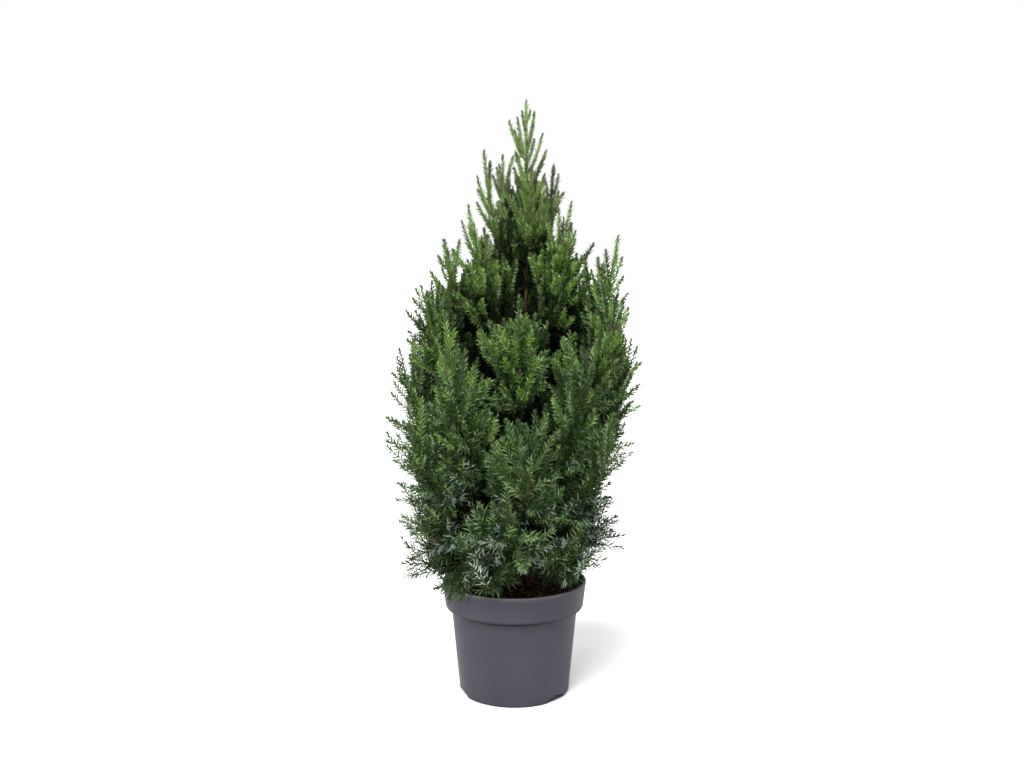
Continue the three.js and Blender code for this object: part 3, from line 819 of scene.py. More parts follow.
def twigs_on(parents, chosen, rule, first, order, ways, lines, rng):
    """Side shoots round each chosen parent, turned by the golden angle from one to the next. Each is
    as long as its space allows, and one that would be a stub is left out."""
    lengths = parents.lengths()
    which, at, turns = [], [], []
    for i in chosen:
        high = float(height_share(parents.point(i, 0.5)[2]))
        step = by_height(rule.spacing, high) / lengths[i]
        last = 1 - by_height(rule.bare_tip, high) / lengths[i]
        count = int((last - first[i]) / step)
        if count < 1:
            continue
        s = first[i] + step * (np.arange(count) + rng.uniform(*TWIG_PLACES, count))
        which.append(np.full(count, i))
        at.append(s)
        spiral = rng.uniform(0, 360) + GOLDEN_ANGLE * np.arange(count)
        turns.append(spiral + jitter(rng, TWIG_TURN_JITTER, count))
    which, at, turns = (np.concatenate(x) for x in (which, at, turns))
    foot = parents.point(which, at)
    forward = parents.tangent(which, at)
    sideways = np.cross(forward, UP)
    upright = np.linalg.norm(sideways, axis=1) < NEARLY_UPRIGHT
    sideways[upright] = (1, 0, 0)
    across, other = frames_of(forward, unit(sideways))
    turn = np.radians(turns)[:, None]
    outward = across * np.cos(turn) + other * np.sin(turn)
    count = len(foot)
    high = height_share(foot[:, 2])
    angle = np.radians(by_height(rule.angle, high) + jitter(rng, TWIG_ANGLE_JITTER, count))[:, None]
    direction = unit(forward * np.cos(angle) + outward * np.sin(angle))
    lift = by_height(rule.lift, high) * rng.uniform(*TWIG_LIFTS, count)
    middle = (direction + unit(direction + lift[:, None] * UP)) / 2
    wish = by_height(rule.length, high) * mix(1, rule.shortening, at) * rng.uniform(*TWIG_LENGTHS, count)
    mass = parents.mass[which]
    floors = np.array([way.floor for way in ways])[mass]
    on_spire = np.array([way.name.startswith("spire") for way in ways])[mass]
    wish = np.where(on_spire & (foot[:, 2] > SPIRE_THIN_FROM), SPIRE_THINNING * wish, wish)
    least, most = by_height(TIP_DEPTH_LEAST, high), by_height(TIP_DEPTH_MOST, high)
    depth = mix(least, most, rng.uniform(0, 1, count)) + DROOP_INSET * (floors < CROWN_FLOOR)
    depth += by_height(HOLLOW_DEPTH, high) * hollow_at(foot + wish[:, None] * middle)
    depth += ROPES_INSET * smoothstep(high, ROPES_FROM, ROPES_FULL)
    best = np.zeros(count)
    for scale in TWIG_TRIES:
        tip = foot + (wish * scale)[:, None] * middle
        fits = (room_at(tip, mass, lines) > TWIG_MARGIN) & (depth_in(crown_reach, tip) >= depth)
        fits &= on_spire | (depth_in(core_reach, tip) >= 0)
        fits &= (tip[:, 2] >= lowest_twig(tip, floors)) & (tip[:, 2] <= TREE_TOP)
        fits &= clear_of_pot(tip, TWIG_CLEARANCE)
        best = np.where((best == 0) & fits, wish * scale, best)
    kept = best >= LEAST_TWIG
    shoots = bent_shoots(foot[kept], direction[kept], lift[kept], best[kept], mass[kept], order, SHOOT_BARE)
    return kept_out(shoots)


def grow_shoots(ways, lines):
    rng = np.random.default_rng(SEED)
    stems = stem_shoots(ways)
    sprays = joined([kept_out(spray_shoots(ways, lines)), cover_shoots(ways, rng)])
    accents = joined([accent_shoots(ways), front_shoots(ways), hanging_shoots(ways)])
    inner = INNER_FROM * stems.leafy_from
    branched = [i for i, way in enumerate(ways) if way.name != "leader"]
    on_stems = twigs_on(stems, branched, ON_STEMS, inner, 2, ways, lines, rng)
    main = joined([sprays, on_stems, inner_shoots(lines, rng)])
    finer = []
    for parents, rule in ((main, ON_SHOOTS), (accents, ON_ACCENTS)):
        first = np.full(len(parents.a), TWIGS_FROM)
        finer.append(twigs_on(parents, range(len(first)), rule, first, 3, ways, lines, rng))
    return joined([stems, main, accents, *finer])


# Meshes

def piece_of(name, points, faces, materials, slots=None, smooth=None):
    """A mesh object from points in millimetres. Faces are triangles, or a list of longer faces."""
    mesh = bpy.data.meshes.new(name)
    if isinstance(faces, np.ndarray):
        mesh.vertices.add(len(points))
        mesh.vertices.foreach_set("co", (points * MM).astype(np.float32).ravel())
        mesh.loops.add(faces.size)
        mesh.loops.foreach_set("vertex_index", faces.astype(np.int32).ravel())
        mesh.polygons.add(len(faces))
        starts = np.arange(0, faces.size, faces.shape[1], dtype=np.int32)
        mesh.polygons.foreach_set("loop_start", starts)
    else:
        mesh.from_pydata([tuple(MM * x for x in p) for p in points], [], faces)
    for material in materials:
        mesh.materials.append(material)
    if slots is not None:
        mesh.polygons.foreach_set("material_index", slots.astype(np.int32))
    mesh.update(calc_edges=True)
    mesh.validate()
    if smooth is None:
        mesh.shade_flat()
    else:
        mesh.shade_smooth()
        mesh.set_sharp_from_angle(angle=math.radians(smooth))
    piece = bpy.data.objects.new(name, mesh)
    bpy.context.scene.collection.objects.link(piece)
    return piece


def stand_for(piece, nodes):
    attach(piece, ROOT)
    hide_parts(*nodes)
    return piece


def needle_mesh(base, axis, across, inward, length, width, widest):
    """Needles: each is a long diamond, folded along its keel."""
    count = len(base)
    half = (width / 2)[:, None]
    deep = (NEEDLE_DEPTH * width)[:, None]
    middle = base + axis * (widest * length)[:, None] + inward * deep
    tip = base + axis * length[:, None]
    points = np.stack([base, middle - across * half, middle + across * half, tip], axis=1).reshape(-1, 3)
    return points, copied(np.array([(0, 1, 3), (0, 3, 2)]), 4, count)


def copied(faces, points_each, count):
    """The faces of many copies of a small shape."""
    return (faces[None] + points_each * np.arange(count)[:, None, None]).reshape(-1, 3)


def tube_mesh(shoots, chosen, foot_radius, tip_radius, rings, sides):
    """Tapering twigs along the chosen shoots, closed at both ends."""
    count = len(chosen)
    s = np.linspace(0, 1, rings)
    which = np.repeat(chosen, rings)
    at = np.tile(s, count)
    centre = shoots.point(which, at)
    forward = shoots.tangent(which, at)
    helper = np.where(np.abs(forward[:, :1]) > 0.8, (0, 1.0, 0), (1.0, 0, 0))
    across, other = frames_of(forward, helper)
    radius = mix(np.repeat(foot_radius, rings), np.repeat(tip_radius, rings), at)
    angle = 2 * math.pi * np.arange(sides) / sides
    ring = across[:, None] * np.cos(angle)[:, None] + other[:, None] * np.sin(angle)[:, None]
    points = (centre[:, None] + ring * radius[:, None, None]).reshape(-1, 3)
    faces = []
    for i in range(rings - 1):
        for j in range(sides):
            a, b = i * sides + j, i * sides + (j + 1) % sides
            faces += [(a, b, b + sides), (a, b + sides, a + sides)]
    last = (rings - 1) * sides
    for j in range(1, sides - 1):
        faces += [(0, j + 1, j), (last, last + j, last + j + 1)]
    return points, copied(np.array(faces), rings * sides, count)


# Materials

DEAD_NEEDLE = (118, 84, 52)
# Painted highlight along the pot's lip: its colour, and how far below the rim it begins and is full
PAINTED_LIP_HIGHLIGHT = (88, 82, 78)
LIP_HIGHLIGHT_BELOW_RIM = (1.6, 0.6)
# Painted shade on the pot's faces that look down: its colour, and the upward part of the normal over which
# it comes in
UNDERSIDE_PAINTED_SHADE = (22, 22, 25)
UNDERSIDE_SHADE_FACING = (-0.7, -0.1)


def srgb(red, green, blue):
    """A colour given as 0 to 255 values on a screen, in the linear values of a shader."""
    def linear(value):
        v = value / 255
        return v / 12.92 if v <= 0.04045 else ((v + 0.055) / 1.055) ** 2.4
    return (linear(red), linear(green), linear(blue), 1)


def new_material(name, roughness, specular=0.5):
    material = bpy.data.materials.new(name)
    material.use_nodes = True
    shader = material.node_tree.nodes["Principled BSDF"]
    shader.inputs["Roughness"].default_value = roughness
    shader.inputs["Specular IOR Level"].default_value = specular
    return material, material.node_tree, shader


def feed(tree, socket, value):
    """Give a socket a plain value, or a link from another socket."""
    if isinstance(value, bpy.types.NodeSocket):
        tree.links.new(value, socket)
    else:
        socket.default_value = value


def output_of(tree, kind, output, inputs, **settings):
    """One output of a new node with these settings and inputs."""
    node = tree.nodes.new(kind)
    for name, value in settings.items():
        setattr(node, name, value)
    for name, value in inputs.items():
        feed(tree, node.inputs[name], value)
    return node.outputs[output]


def noise_node(tree, scale, detail, stretch=(1, 1, 1)):
    """Noise in the piece's own space. The scale is in waves per metre."""
    place = output_of(tree, "ShaderNodeTexCoord", "Object", {})
    mapped = output_of(tree, "ShaderNodeMapping", "Vector", {"Vector": place, "Scale": stretch})
    inputs = {"Vector": mapped, "Scale": scale, "Detail": detail}
    return output_of(tree, "ShaderNodeTexNoise", "Fac", inputs)


def ranged(tree, value, low, high, low_in=0.3, high_in=0.7):
    inputs = {"Value": value, "From Min": low_in, "From Max": high_in, "To Min": low, "To Max": high}
    return output_of(tree, "ShaderNodeMapRange", "Result", inputs)


def mixed(tree, factor, first, second, blend="MIX"):
    inputs = {"Factor": factor, "A": first, "B": second}
    return output_of(tree, "ShaderNodeMix", "Result", inputs, data_type="RGBA", blend_type=blend)


def ramp(tree, value, stops):
    """A colour ramp over value. stops are (place, screen colour)."""
    node = tree.nodes.new("ShaderNodeValToRGB")
    elements = node.color_ramp.elements
    while len(elements) < len(stops):
        elements.new(0.5)
    for element, (place, colour) in zip(elements, stops):
        element.position = place
        element.color = srgb(*colour)
    tree.links.new(value, node.inputs["Fac"])
    return node.outputs["Color"]


def surfaced(tree, shader, colour, gloss, height, strength, distance):
    """Give a shader its colour, its roughness, and bumps of this height field, strength and depth."""
    feed(tree, shader.inputs["Base Color"], colour)
    feed(tree, shader.inputs["Roughness"], gloss)
    inputs = {"Strength": strength, "Distance": distance, "Height": height}
    feed(tree, shader.inputs["Normal"], output_of(tree, "ShaderNodeBump", "Normal", inputs))


def leaf_material(name, colour, roughness, spread=0.12):
    """A waxy needle: one plain colour, with bloom that varies in the gloss and a faint relief."""
    material, tree, shader = new_material(name, roughness, specular=0.25)
    wax = noise_node(tree, scale=900, detail=3)
    gloss = ranged(tree, wax, roughness - spread, roughness + spread)
    surfaced(tree, shader, srgb(*colour), gloss, wax, strength=0.25, distance=0.0004)
    return material


def bark_material():
    """Brown strips that run up the limb, under larger pale and dark blotches."""
    material, tree, shader = new_material("bark", roughness=0.85, specular=0.25)
    strips = noise_node(tree, scale=420, detail=6, stretch=(1, 1, 0.12))
    blotches = noise_node(tree, scale=60, detail=3)
    colour = ramp(tree, strips, ((0.32, (36, 28, 18)), (0.5, (80, 64, 40)), (0.68, (116, 94, 62))))
    patches = ramp(tree, blotches, ((0.35, (150, 130, 118)), (0.65, (255, 240, 226))))
    tinted = mixed(tree, 0.5, colour, patches, "MULTIPLY")
    surfaced(tree, shader, tinted, ranged(tree, strips, 0.95, 0.7), strips, strength=0.7, distance=0.0008)
    return material


def twig_material(name, colour):
    material, tree, shader = new_material(name, roughness=0.6, specular=0.35)
    grain = noise_node(tree, scale=700, detail=3, stretch=(1, 1, 0.3))
    gloss = ranged(tree, grain, 0.5, 0.8)
    surfaced(tree, shader, srgb(*colour), gloss, grain, strength=0.4, distance=0.0004)
    return material


def soil_material():
    material, tree, shader = new_material("peat", roughness=0.95, specular=0.2)
    grains = noise_node(tree, scale=260, detail=8)
    colour = ramp(tree, grains, ((0.3, (14, 9, 6)), (0.52, (34, 22, 15)), (0.72, (66, 44, 30))))
    surfaced(tree, shader, colour, ranged(tree, grains, 0.98, 0.82), grains, strength=0.8, distance=0.0012)
    return material


def upwards(tree, vector):
    """The vertical part of a vector."""
    return output_of(tree, "ShaderNodeSeparateXYZ", "Z", {"Vector": vector})


def pot_material():
    """Satin moulded plastic, nearly black with a touch of purple, with a painted highlight along the lip
    and painted shade on the faces that look down.
    """
    material, tree, shader = new_material("pot_plastic", roughness=0.5, specular=0.1)
    cloud = noise_node(tree, scale=14, detail=3)
    colour = ramp(tree, cloud, ((0.3, (54, 53, 61)), (0.7, (61, 60, 69))))
    height = upwards(tree, output_of(tree, "ShaderNodeTexCoord", "Object", {}))
    # Painted highlight: the top of the lip is lighter
    highlight_from, highlight_full = (MM * (POT_HEIGHT - below) for below in LIP_HIGHLIGHT_BELOW_RIM)
    with_lip_highlight = mixed(tree, ranged(tree, height, 0, 1, highlight_from, highlight_full), colour, srgb(*PAINTED_LIP_HIGHLIGHT))
    # Painted shade: faces that look down are darker, as the collar's underside is in shade
    facing = upwards(tree, output_of(tree, "ShaderNodeNewGeometry", "Normal", {}))
    under = ranged(tree, facing, 1, 0, *UNDERSIDE_SHADE_FACING)
    shaded = mixed(tree, under, with_lip_highlight, srgb(*UNDERSIDE_PAINTED_SHADE))
    grain = noise_node(tree, scale=1500, detail=2)
    surfaced(tree, shader, shaded, ranged(tree, cloud, 0.42, 0.56), grain, strength=0.12, distance=0.0003)
    return material


# Pot and soil

def arc(centre_r, centre_z, radius, start, stop, steps=ROUND_STEPS):
    """Points of a round edge in a profile, with angles in degrees from the outward direction."""
    return [
        (
            centre_r + radius * math.cos(math.radians(mix(start, stop, i / steps))),
            centre_z + radius * math.sin(math.radians(mix(start, stop, i / steps))),
        )
        for i in range(steps + 1)
    ]


def wall_slope():
    """How much the collar widens for each millimetre up."""
    return (RIM_RADIUS - COLLAR_FOOT_RADIUS) / (POT_HEIGHT - COLLAR_FOOT)


def pot_outside():
    """The pot's outer section, from the axis out along the underside, up the wall and over the lip."""
    section = [(0, 0), (BASE_RADIUS - HEEL, 0)]
    section += arc(BASE_RADIUS - HEEL, HEEL, HEEL, *HEEL_ARC)
    section += [(WALL_TOP_RADIUS - WALL_FLARE, WALL_TOP), (WALL_TOP_RADIUS, COLLAR_FOOT - COLLAR_STEP)]
    section += [(WALL_TOP_RADIUS + COLLAR_STEP, COLLAR_FOOT)]
    centre_z = COLLAR_FOOT + COLLAR_ROUND + WALL_FLARE
    centre_r = COLLAR_FOOT_RADIUS - COLLAR_ROUND
    section += arc(centre_r, centre_z, COLLAR_ROUND, *COLLAR_ARC, 2 * ROUND_STEPS)
    section += [(RIM_RADIUS - LIP_BEAD, POT_HEIGHT - 4 * LIP_ROUND)]
    section += [(RIM_RADIUS, POT_HEIGHT - 3 * LIP_ROUND)]
    section += arc(RIM_RADIUS - LIP_ROUND, POT_HEIGHT - LIP_ROUND, LIP_ROUND, *LIP_ARC)
    return section + [(0, POT_HEIGHT)]


def pot_inside():
    """The section of the hollow. It ends over the rim."""
    top = POT_HEIGHT + OVERSHOOT
    at_collar = [
        (COLLAR_FOOT_RADIUS - walls * WALL, COLLAR_FOOT + rounds * COLLAR_ROUND)
        for walls, rounds in COLLAR_INSIDE
    ]
    return [
        (0, FLOOR),
        (BASE_RADIUS - WALL - HEEL, FLOOR),
        (BASE_RADIUS - WALL, FLOOR + HEEL),
        (WALL_TOP_RADIUS - WALL - WALL_FLARE, WALL_TOP),
        (WALL_TOP_RADIUS - WALL, COLLAR_FOOT),
        *at_collar,
        (RIM_RADIUS - LIP_WIDTH, POT_HEIGHT - LIP_ROUND),
        (RIM_RADIUS - LIP_WIDTH + LIP_ROUND * wall_slope(), top),
        (0, top),
    ]


def circle(radius, z, sides):
    angles = [2 * math.pi * j / sides for j in range(sides)]
    return [(radius * math.cos(angle), radius * math.sin(angle), z) for angle in angles]


def faces_round(rows, sides):
    """Faces over rows of points round the axis, with a point on the axis before and after them."""
    faces = [(0, 1 + (j + 1) % sides, 1 + j) for j in range(sides)]
    for i in range(rows - 1):
        for j in range(sides):
            a = 1 + i * sides + j
            b = 1 + i * sides + (j + 1) % sides
            faces.append((a, b, b + sides, a + sides))
    last = 1 + (rows - 1) * sides
    faces += [(last + j, last + (j + 1) % sides, last + sides) for j in range(sides)]
    return faces


def turned(profile, sides):
    """A closed body of revolution, as points and faces, from a profile between two axis points."""
    points = [(0, 0, profile[0][1])]
    for r, z in profile[1:-1]:
        points += circle(r, z, sides)
    points.append((0, 0, profile[-1][1]))
    return points, faces_round(len(profile) - 2, sides)


def swung(distance, across, z, azimuth):
    """A point so far out from the pot's axis and so far across, at an azimuth in degrees."""
    turn = math.radians(azimuth)
    x = distance * math.cos(turn) - across * math.sin(turn)
    y = distance * math.sin(turn) + across * math.cos(turn)
    return (x, y, z)


def arch(azimuth, grow):
    """The space of a notch: a flat back, and a low arch outwards. It is wider and higher by grow."""
    width, height = NOTCH_HALF_WIDTH + grow, NOTCH_HEIGHT + grow
    outline = [(-width, -OVERSHOOT), (width, -OVERSHOOT)]
    angles = [math.pi * i / ARCH_STEPS for i in range(ARCH_STEPS + 1)]
    outline += [(width * math.cos(angle), height * math.sin(angle)) for angle in angles]
    distances = (NOTCH_DISTANCE - grow, RIM_RADIUS)
    points = [swung(distance, across, z, azimuth) for distance in distances for across, z in outline]
    count = len(outline)
    faces = [tuple(reversed(range(count))), tuple(range(count, 2 * count))]
    faces += [(i, (i + 1) % count, count + (i + 1) % count, count + i) for i in range(count)]
    return points, faces


def slot_box(azimuth, offset):
    """The space of a drain slot, through the flat back of a notch."""
    points = []
    for distance in (NOTCH_DISTANCE - 2 * WALL, NOTCH_DISTANCE + 2 * WALL):
        for across in (offset - SLOT_WIDTH / 2, offset + SLOT_WIDTH / 2):
            for z in (SLOT_FOOT, SLOT_FOOT + SLOT_HEIGHT):
                points.append(swung(distance, across, z, azimuth))
    faces = [(0, 1, 3, 2), (4, 6, 7, 5), (0, 4, 5, 1), (2, 3, 7, 6), (0, 2, 6, 4), (1, 5, 7, 3)]
    return points, faces


def cut(piece, points, faces):
    """Take a closed body away from a piece."""
    cutter = piece_of("cutter", points, faces, [])
    tool = piece.modifiers.new("cut", "BOOLEAN")
    tool.operation = "DIFFERENCE"
    tool.solver = "EXACT"
    tool.object = cutter
    result = bpy.data.meshes.new_from_object(piece.evaluated_get(bpy.context.evaluated_depsgraph_get()))
    piece.modifiers.clear()
    piece.data = result
    bpy.data.objects.remove(cutter)


def make_pot(material):
    pot = piece_of("pot_shell", *turned(pot_outside(), POT_SIDES), [material])
    hollow = piece_of("hollow", *turned(pot_inside(), POT_SIDES), [])
    for azimuth in NOTCH_AZIMUTHS:
        cut(hollow, *arch(azimuth, WALL))
    cut(pot, [v.co / MM for v in hollow.data.vertices], [tuple(p.vertices) for p in hollow.data.polygons])
    bpy.data.objects.remove(hollow)
    for azimuth in NOTCH_AZIMUTHS:
        cut(pot, *arch(azimuth, 0))
        for offset in (-SLOT_OFFSET, SLOT_OFFSET):
            cut(pot, *slot_box(azimuth, offset))
    pot.data.shade_smooth()
    pot.data.set_sharp_from_angle(angle=math.radians(POT_SHARP))
    return stand_for(pot, ["pot"])


def soil_height(radius):
    """The shallow mound of the solid, a little below the rim."""
    shoulder = mix(SOIL_EDGE, SOIL_TOP, SOIL_SHOULDER_RISE)
    edge = soil_edge_radius()
    radii = (0, SOIL_FLAT_RADIUS, SOIL_SHOULDER_RADIUS, edge)
    return np.interp(radius, radii, (SOIL_TOP, SOIL_TOP, shoulder, SOIL_EDGE))


def soil_edge_radius():
    return COLLAR_FOOT_RADIUS + wall_slope() * (SOIL_EDGE - COLLAR_FOOT) - WALL - 2 * GAP


def clods(x, y):
    """Height of the soil's clods and crumbs over the mound."""
    return sum(
        height * noise.fractal(Vector((x / width, y / width, place)), *settings)
        for height, width, place, settings in CLODS
    )


def make_soil(material, needle_material):
    """The bed of soil: its lumpy top, and two plain rows down its side."""
    edge = soil_edge_radius()
    points = [(0, 0, SOIL_TOP + clods(0, 0))]
    for i in range(1, SOIL_RINGS + 1):
        radius = edge * i / SOIL_RINGS
        fading = min(1.0, EDGE_FADE * (1 - i / (SOIL_RINGS + 1)))
        off_trunk = smoothstep(radius, *TRUNK_DIP_RADII)
        for x, y, height in circle(radius, float(soil_height(radius)), SOIL_SIDES):
            lump = clods(x, y) * fading
            points.append((x, y, height + lump * off_trunk - TRUNK_DIP * (1 - off_trunk)))
    foot_radius = COLLAR_FOOT_RADIUS - SOIL_FOOT_WALLS * WALL
    lower = [(edge, SOIL_EDGE - SOIL_SIDE), (foot_radius, SOIL_EDGE - SOIL_DEPTH)]
    for radius, z in lower:
        points += circle(radius, z, SOIL_SIDES)
    points.append((0, 0, lower[-1][1]))
    upright = faces_round(SOIL_RINGS + len(lower), SOIL_SIDES)
    faces = [(face[0], *face[:0:-1]) for face in upright]
    soil = piece_of("soil_bed", points, faces, [material], smooth=SOIL_SHARP)
    stand_for(soil, ["soil"])
    make_crumbs(material)
    make_litter(needle_material)


def lump_shape():
    """The points and faces of a coarse round lump."""
    shape = bmesh.new()
    bmesh.ops.create_icosphere(shape, subdivisions=1, radius=1)
    points = np.array([v.co for v in shape.verts])
    faces = np.array([[v.index for v in f.verts] for f in shape.faces])
    shape.free()
    return points, faces


def on_soil(rng, count, inner, margin):
    """Random places on the soil, as points on its mound."""
    radius = np.sqrt(rng.uniform(inner**2, (soil_edge_radius() - margin) ** 2, count))
    angle = rng.uniform(0, 2 * math.pi, count)
    x, y = radius * np.cos(angle), radius * np.sin(angle)
    z = soil_height(radius) + np.array([clods(a, b) for a, b in zip(x, y)])
    return np.stack([x, y, z], axis=1)


def make_crumbs(material):
    rng = np.random.default_rng(SEED + 1)
    shape, pattern = lump_shape()
    places = on_soil(rng, CRUMBS, LOOSE_FROM, CRUMB_MARGIN)
    sizes = rng.uniform(*CRUMB_SIZES, (CRUMBS, 1, 1)) * rng.uniform(*CRUMB_STRETCH, (CRUMBS, 1, 3))
    rough = rng.uniform(*CRUMB_ROUGHNESS, (CRUMBS, len(shape), 1))
    points = places[:, None] + shape[None] * sizes * rough
    faces = copied(pattern, len(shape), CRUMBS)
    crumbs = piece_of("soil_crumbs", points.reshape(-1, 3), faces, [material], smooth=CRUMB_SHARP)
    stand_for(crumbs, ["soil"])


def make_litter(material):
    """Dead needles that lie on the soil."""
    rng = np.random.default_rng(SEED + 2)
    base = on_soil(rng, LITTER, LOOSE_FROM, LITTER_MARGIN) + LITTER_LIFT * UP
    angle = rng.uniform(0, 2 * math.pi, LITTER)
    tilt = rng.uniform(*LITTER_TILTS, LITTER)
    axis = unit(np.stack([np.cos(angle), np.sin(angle), tilt], axis=1))
    across, inward = frames_of(axis, np.cross(axis, UP))
    length = rng.uniform(*LITTER_LENGTHS, LITTER)
    width, widest = np.full(LITTER, LITTER_WIDTH), np.full(LITTER, LITTER_WIDEST)
    points, faces = needle_mesh(base, axis, across, inward, length, width, widest)
    litter = piece_of("soil_litter", points, faces, [material])
    stand_for(litter, ["soil"])


# Trunk and boughs with the bark's relief

def relief(along, angle, shred):
    """Height of the bark at a place: long shreds that run up the limb, and flakes between them."""
    def place(waves, length):
        return Vector((math.cos(angle) * waves, math.sin(angle) * waves, along / length))
    shreds = noise.fractal(place(SHRED_WAVES, shred), *SHRED_LAYERS)
    flakes = noise.noise(place(FLAKE_WAVES, FLAKE_LENGTH * shred))
    return SHRED_SHARE * shreds + (1 - SHRED_SHARE) * flakes


def trunk_mesh(rings=260, sides=30):
    points = []
    heights = np.linspace(TRUNK_FOOT, TRUNK_TIP, rings)
    for height in heights:
        centre = trunk_axis(height)
        flare = math.exp(-(height - TRUNK_FOOT) / FLARE_HEIGHT)
        base = float(trunk_radius(height))
        for j in range(sides):
            angle = 2 * math.pi * j / sides
            lobe = 1 + FLARE_DEPTH * flare * math.cos(FLARE_LOBES * angle)
            rough = 1 + TRUNK_RELIEF * relief(height, angle, TRUNK_SHRED)
            radius = (base + FLARE_RADIUS * flare) * lobe * rough
            around = np.array([math.cos(angle), math.sin(angle), 0])
            points.append(centre + radius * around)
    return np.array(points), capped_tube(rings, sides)


def capped_tube(rings, sides):
    faces = []
    for i in range(rings - 1):
        for j in range(sides):
            a, b = i * sides + j, i * sides + (j + 1) % sides
            faces.append((a, b, b + sides, a + sides))
    last = (rings - 1) * sides
    faces.append(tuple(reversed(range(sides))))
    faces.append(tuple(range(last, last + sides)))
    return faces


def bough_mesh(way, rings=46, sides=12):
    foot_radius = LIMB_SHARE * float(trunk_radius(way.foot[2]))
    points = []
    for i in range(rings):
        share = i / (rings - 1)
        t = share * way.bare
        centre, forward = way.point(t), way.tangent(t)
        across, other = frames_of(forward, way.side)
        base = mix(foot_radius, LIMB_TIP_RADIUS, share)
        for j in range(sides):
            angle = 2 * math.pi * j / sides
            along = share * BOUGH_SHREDDED_LENGTH + way.foot[2]
            rough = 1 + BOUGH_RELIEF * relief(along, angle, BOUGH_SHRED)
            points.append(centre + base * rough * (across * math.cos(angle) + other * math.sin(angle)))
    return np.array(points), capped_tube(rings, sides)


def make_limbs(ways, material):
    points, faces = trunk_mesh()
    trunk = piece_of("trunk_bark", points, faces, [material], smooth=BARK_SHARP)
    stand_for(trunk, ["trunk"])
    with_bough = [way for way in ways if way.bough]
    all_points, all_faces, offset = [], [], 0
    for way in with_bough:
        points, faces = bough_mesh(way)
        all_points.append(points)
        all_faces += [tuple(offset + k for k in face) for face in faces]
        offset += len(points)
    bough_nodes = [f"bough_{way.name}" for way in with_bough]
    joined_points = np.concatenate(all_points)
    boughs = piece_of("bough_bark", joined_points, all_faces, [material], smooth=BARK_SHARP)
    stand_for(boughs, bough_nodes)


# Foliage

# Tints: the needle's green back, and its inner side with the paler bloom
TINTS = {
    "tip": ((94, 116, 58), (136, 152, 106)),
    "fresh": ((90, 127, 46), (143, 168, 106)),
    "green": ((48, 78, 27), (124, 148, 98)),
    # The deep tint is a darker green of some shoots, and also painted shade inside the crown and under it
    "deep": ((34, 55, 21), (72, 94, 58)),
    "bluish": ((36, 57, 30), (140, 158, 138)),
    "blue": ((32, 52, 34), (186, 200, 186)),
    # The shade tint is painted shade, for needles far inside the crown
    "shade": ((24, 38, 16), (32, 48, 22)),
    "bud": ((72, 82, 46), (98, 108, 74)),
    "dry": ((66, 52, 32), (84, 68, 48)),
}
TINT = {name: number for number, name in enumerate(TINTS)}
# How fresh the green is for the height, and the steps from the bluest tint up
GREEN_RISE = 1.6
GREEN_FOOT = 0.06
GREEN_SPREAD = 0.12
GREEN_SPREAD_OF_MASSES = 0.06
GREEN_STEPS = {"blue": -0.08, "bluish": 0.22, "green": 0.6}
# Shares of the shoots that are darker or greyer than that, and the heights they are at
FRESH_DULLED = 0.3
DEEP_LEFT = (0.72, 0.96)
DEEP_ABOVE = 0.2
TIP_SHARE = 0.5
TIP_ABOVE = 0.72
# Share of the lowest shoots, under the crown, that take painted shade
LOW_SHADED = 0.85
BLUE_DEEP = 0.2
DRY_SHARE = 0.004
DRY_BELOW = 0.3
DRY_DEPTH = 12
BUD_LENGTH = 6
BUD_FROM = 0.42
# The lowest shoots, under the crown, get painted shade: most take the deep tint and the rest the bluish
# one, so they have less bloom
SHADED_BELOW = 187
SHADED_BELOW_SPREAD = 8
# Depth under the shoots' own surface from which needles get painted shade, first the deep tint and then the
# darker shade tint, and how much it differs between shoots. The surface is measured in sectors round the
# trunk and layers up it.
DEEP_SHADE_FROM = (20, 18, 28)
SHADE_FROM = (36, 32, 50)
SHADE_SPREAD = 6
SECTORS = 24
LAYER = 22
SURFACE_SHARE = 85
SURFACE_PLACES = (0.4, 0.7, 1)
LEAF_ROUGHNESS = 0.5
BLOOM_ROUGHNESS = 0.62


def sector_of(points):
    """The layer and sector of each point, and how far it is from the trunk's axis."""
    out, azimuth = round_trunk(points)
    sector = np.floor(azimuth / (2 * math.pi) * SECTORS).astype(int) % SECTORS
    layer = np.clip(points[:, 2] / LAYER, 0, TREE_TOP // LAYER).astype(int)
    return layer, sector, out


def surface_of(shoots):
    """How far most of the shoots reach in each layer and sector, smoothed over the neighbours."""
    layer, sector, out = sector_of(np.concatenate([shoots.all_at(s) for s in SURFACE_PLACES]))
    surface = np.zeros((TREE_TOP // LAYER + 1, SECTORS))
    for i in range(len(surface)):
        for j in range(SECTORS):
            here = out[(layer == i) & (sector == j)]
            surface[i, j] = np.percentile(here, SURFACE_SHARE) if len(here) else 0
    beside = (surface + np.roll(surface, 1, axis=1) + np.roll(surface, -1, axis=1)) / 3
    padded = np.pad(beside, ((1, 1), (0, 0)), mode="edge")
    return (padded[:-2] + padded[1:-1] + padded[2:]) / 3


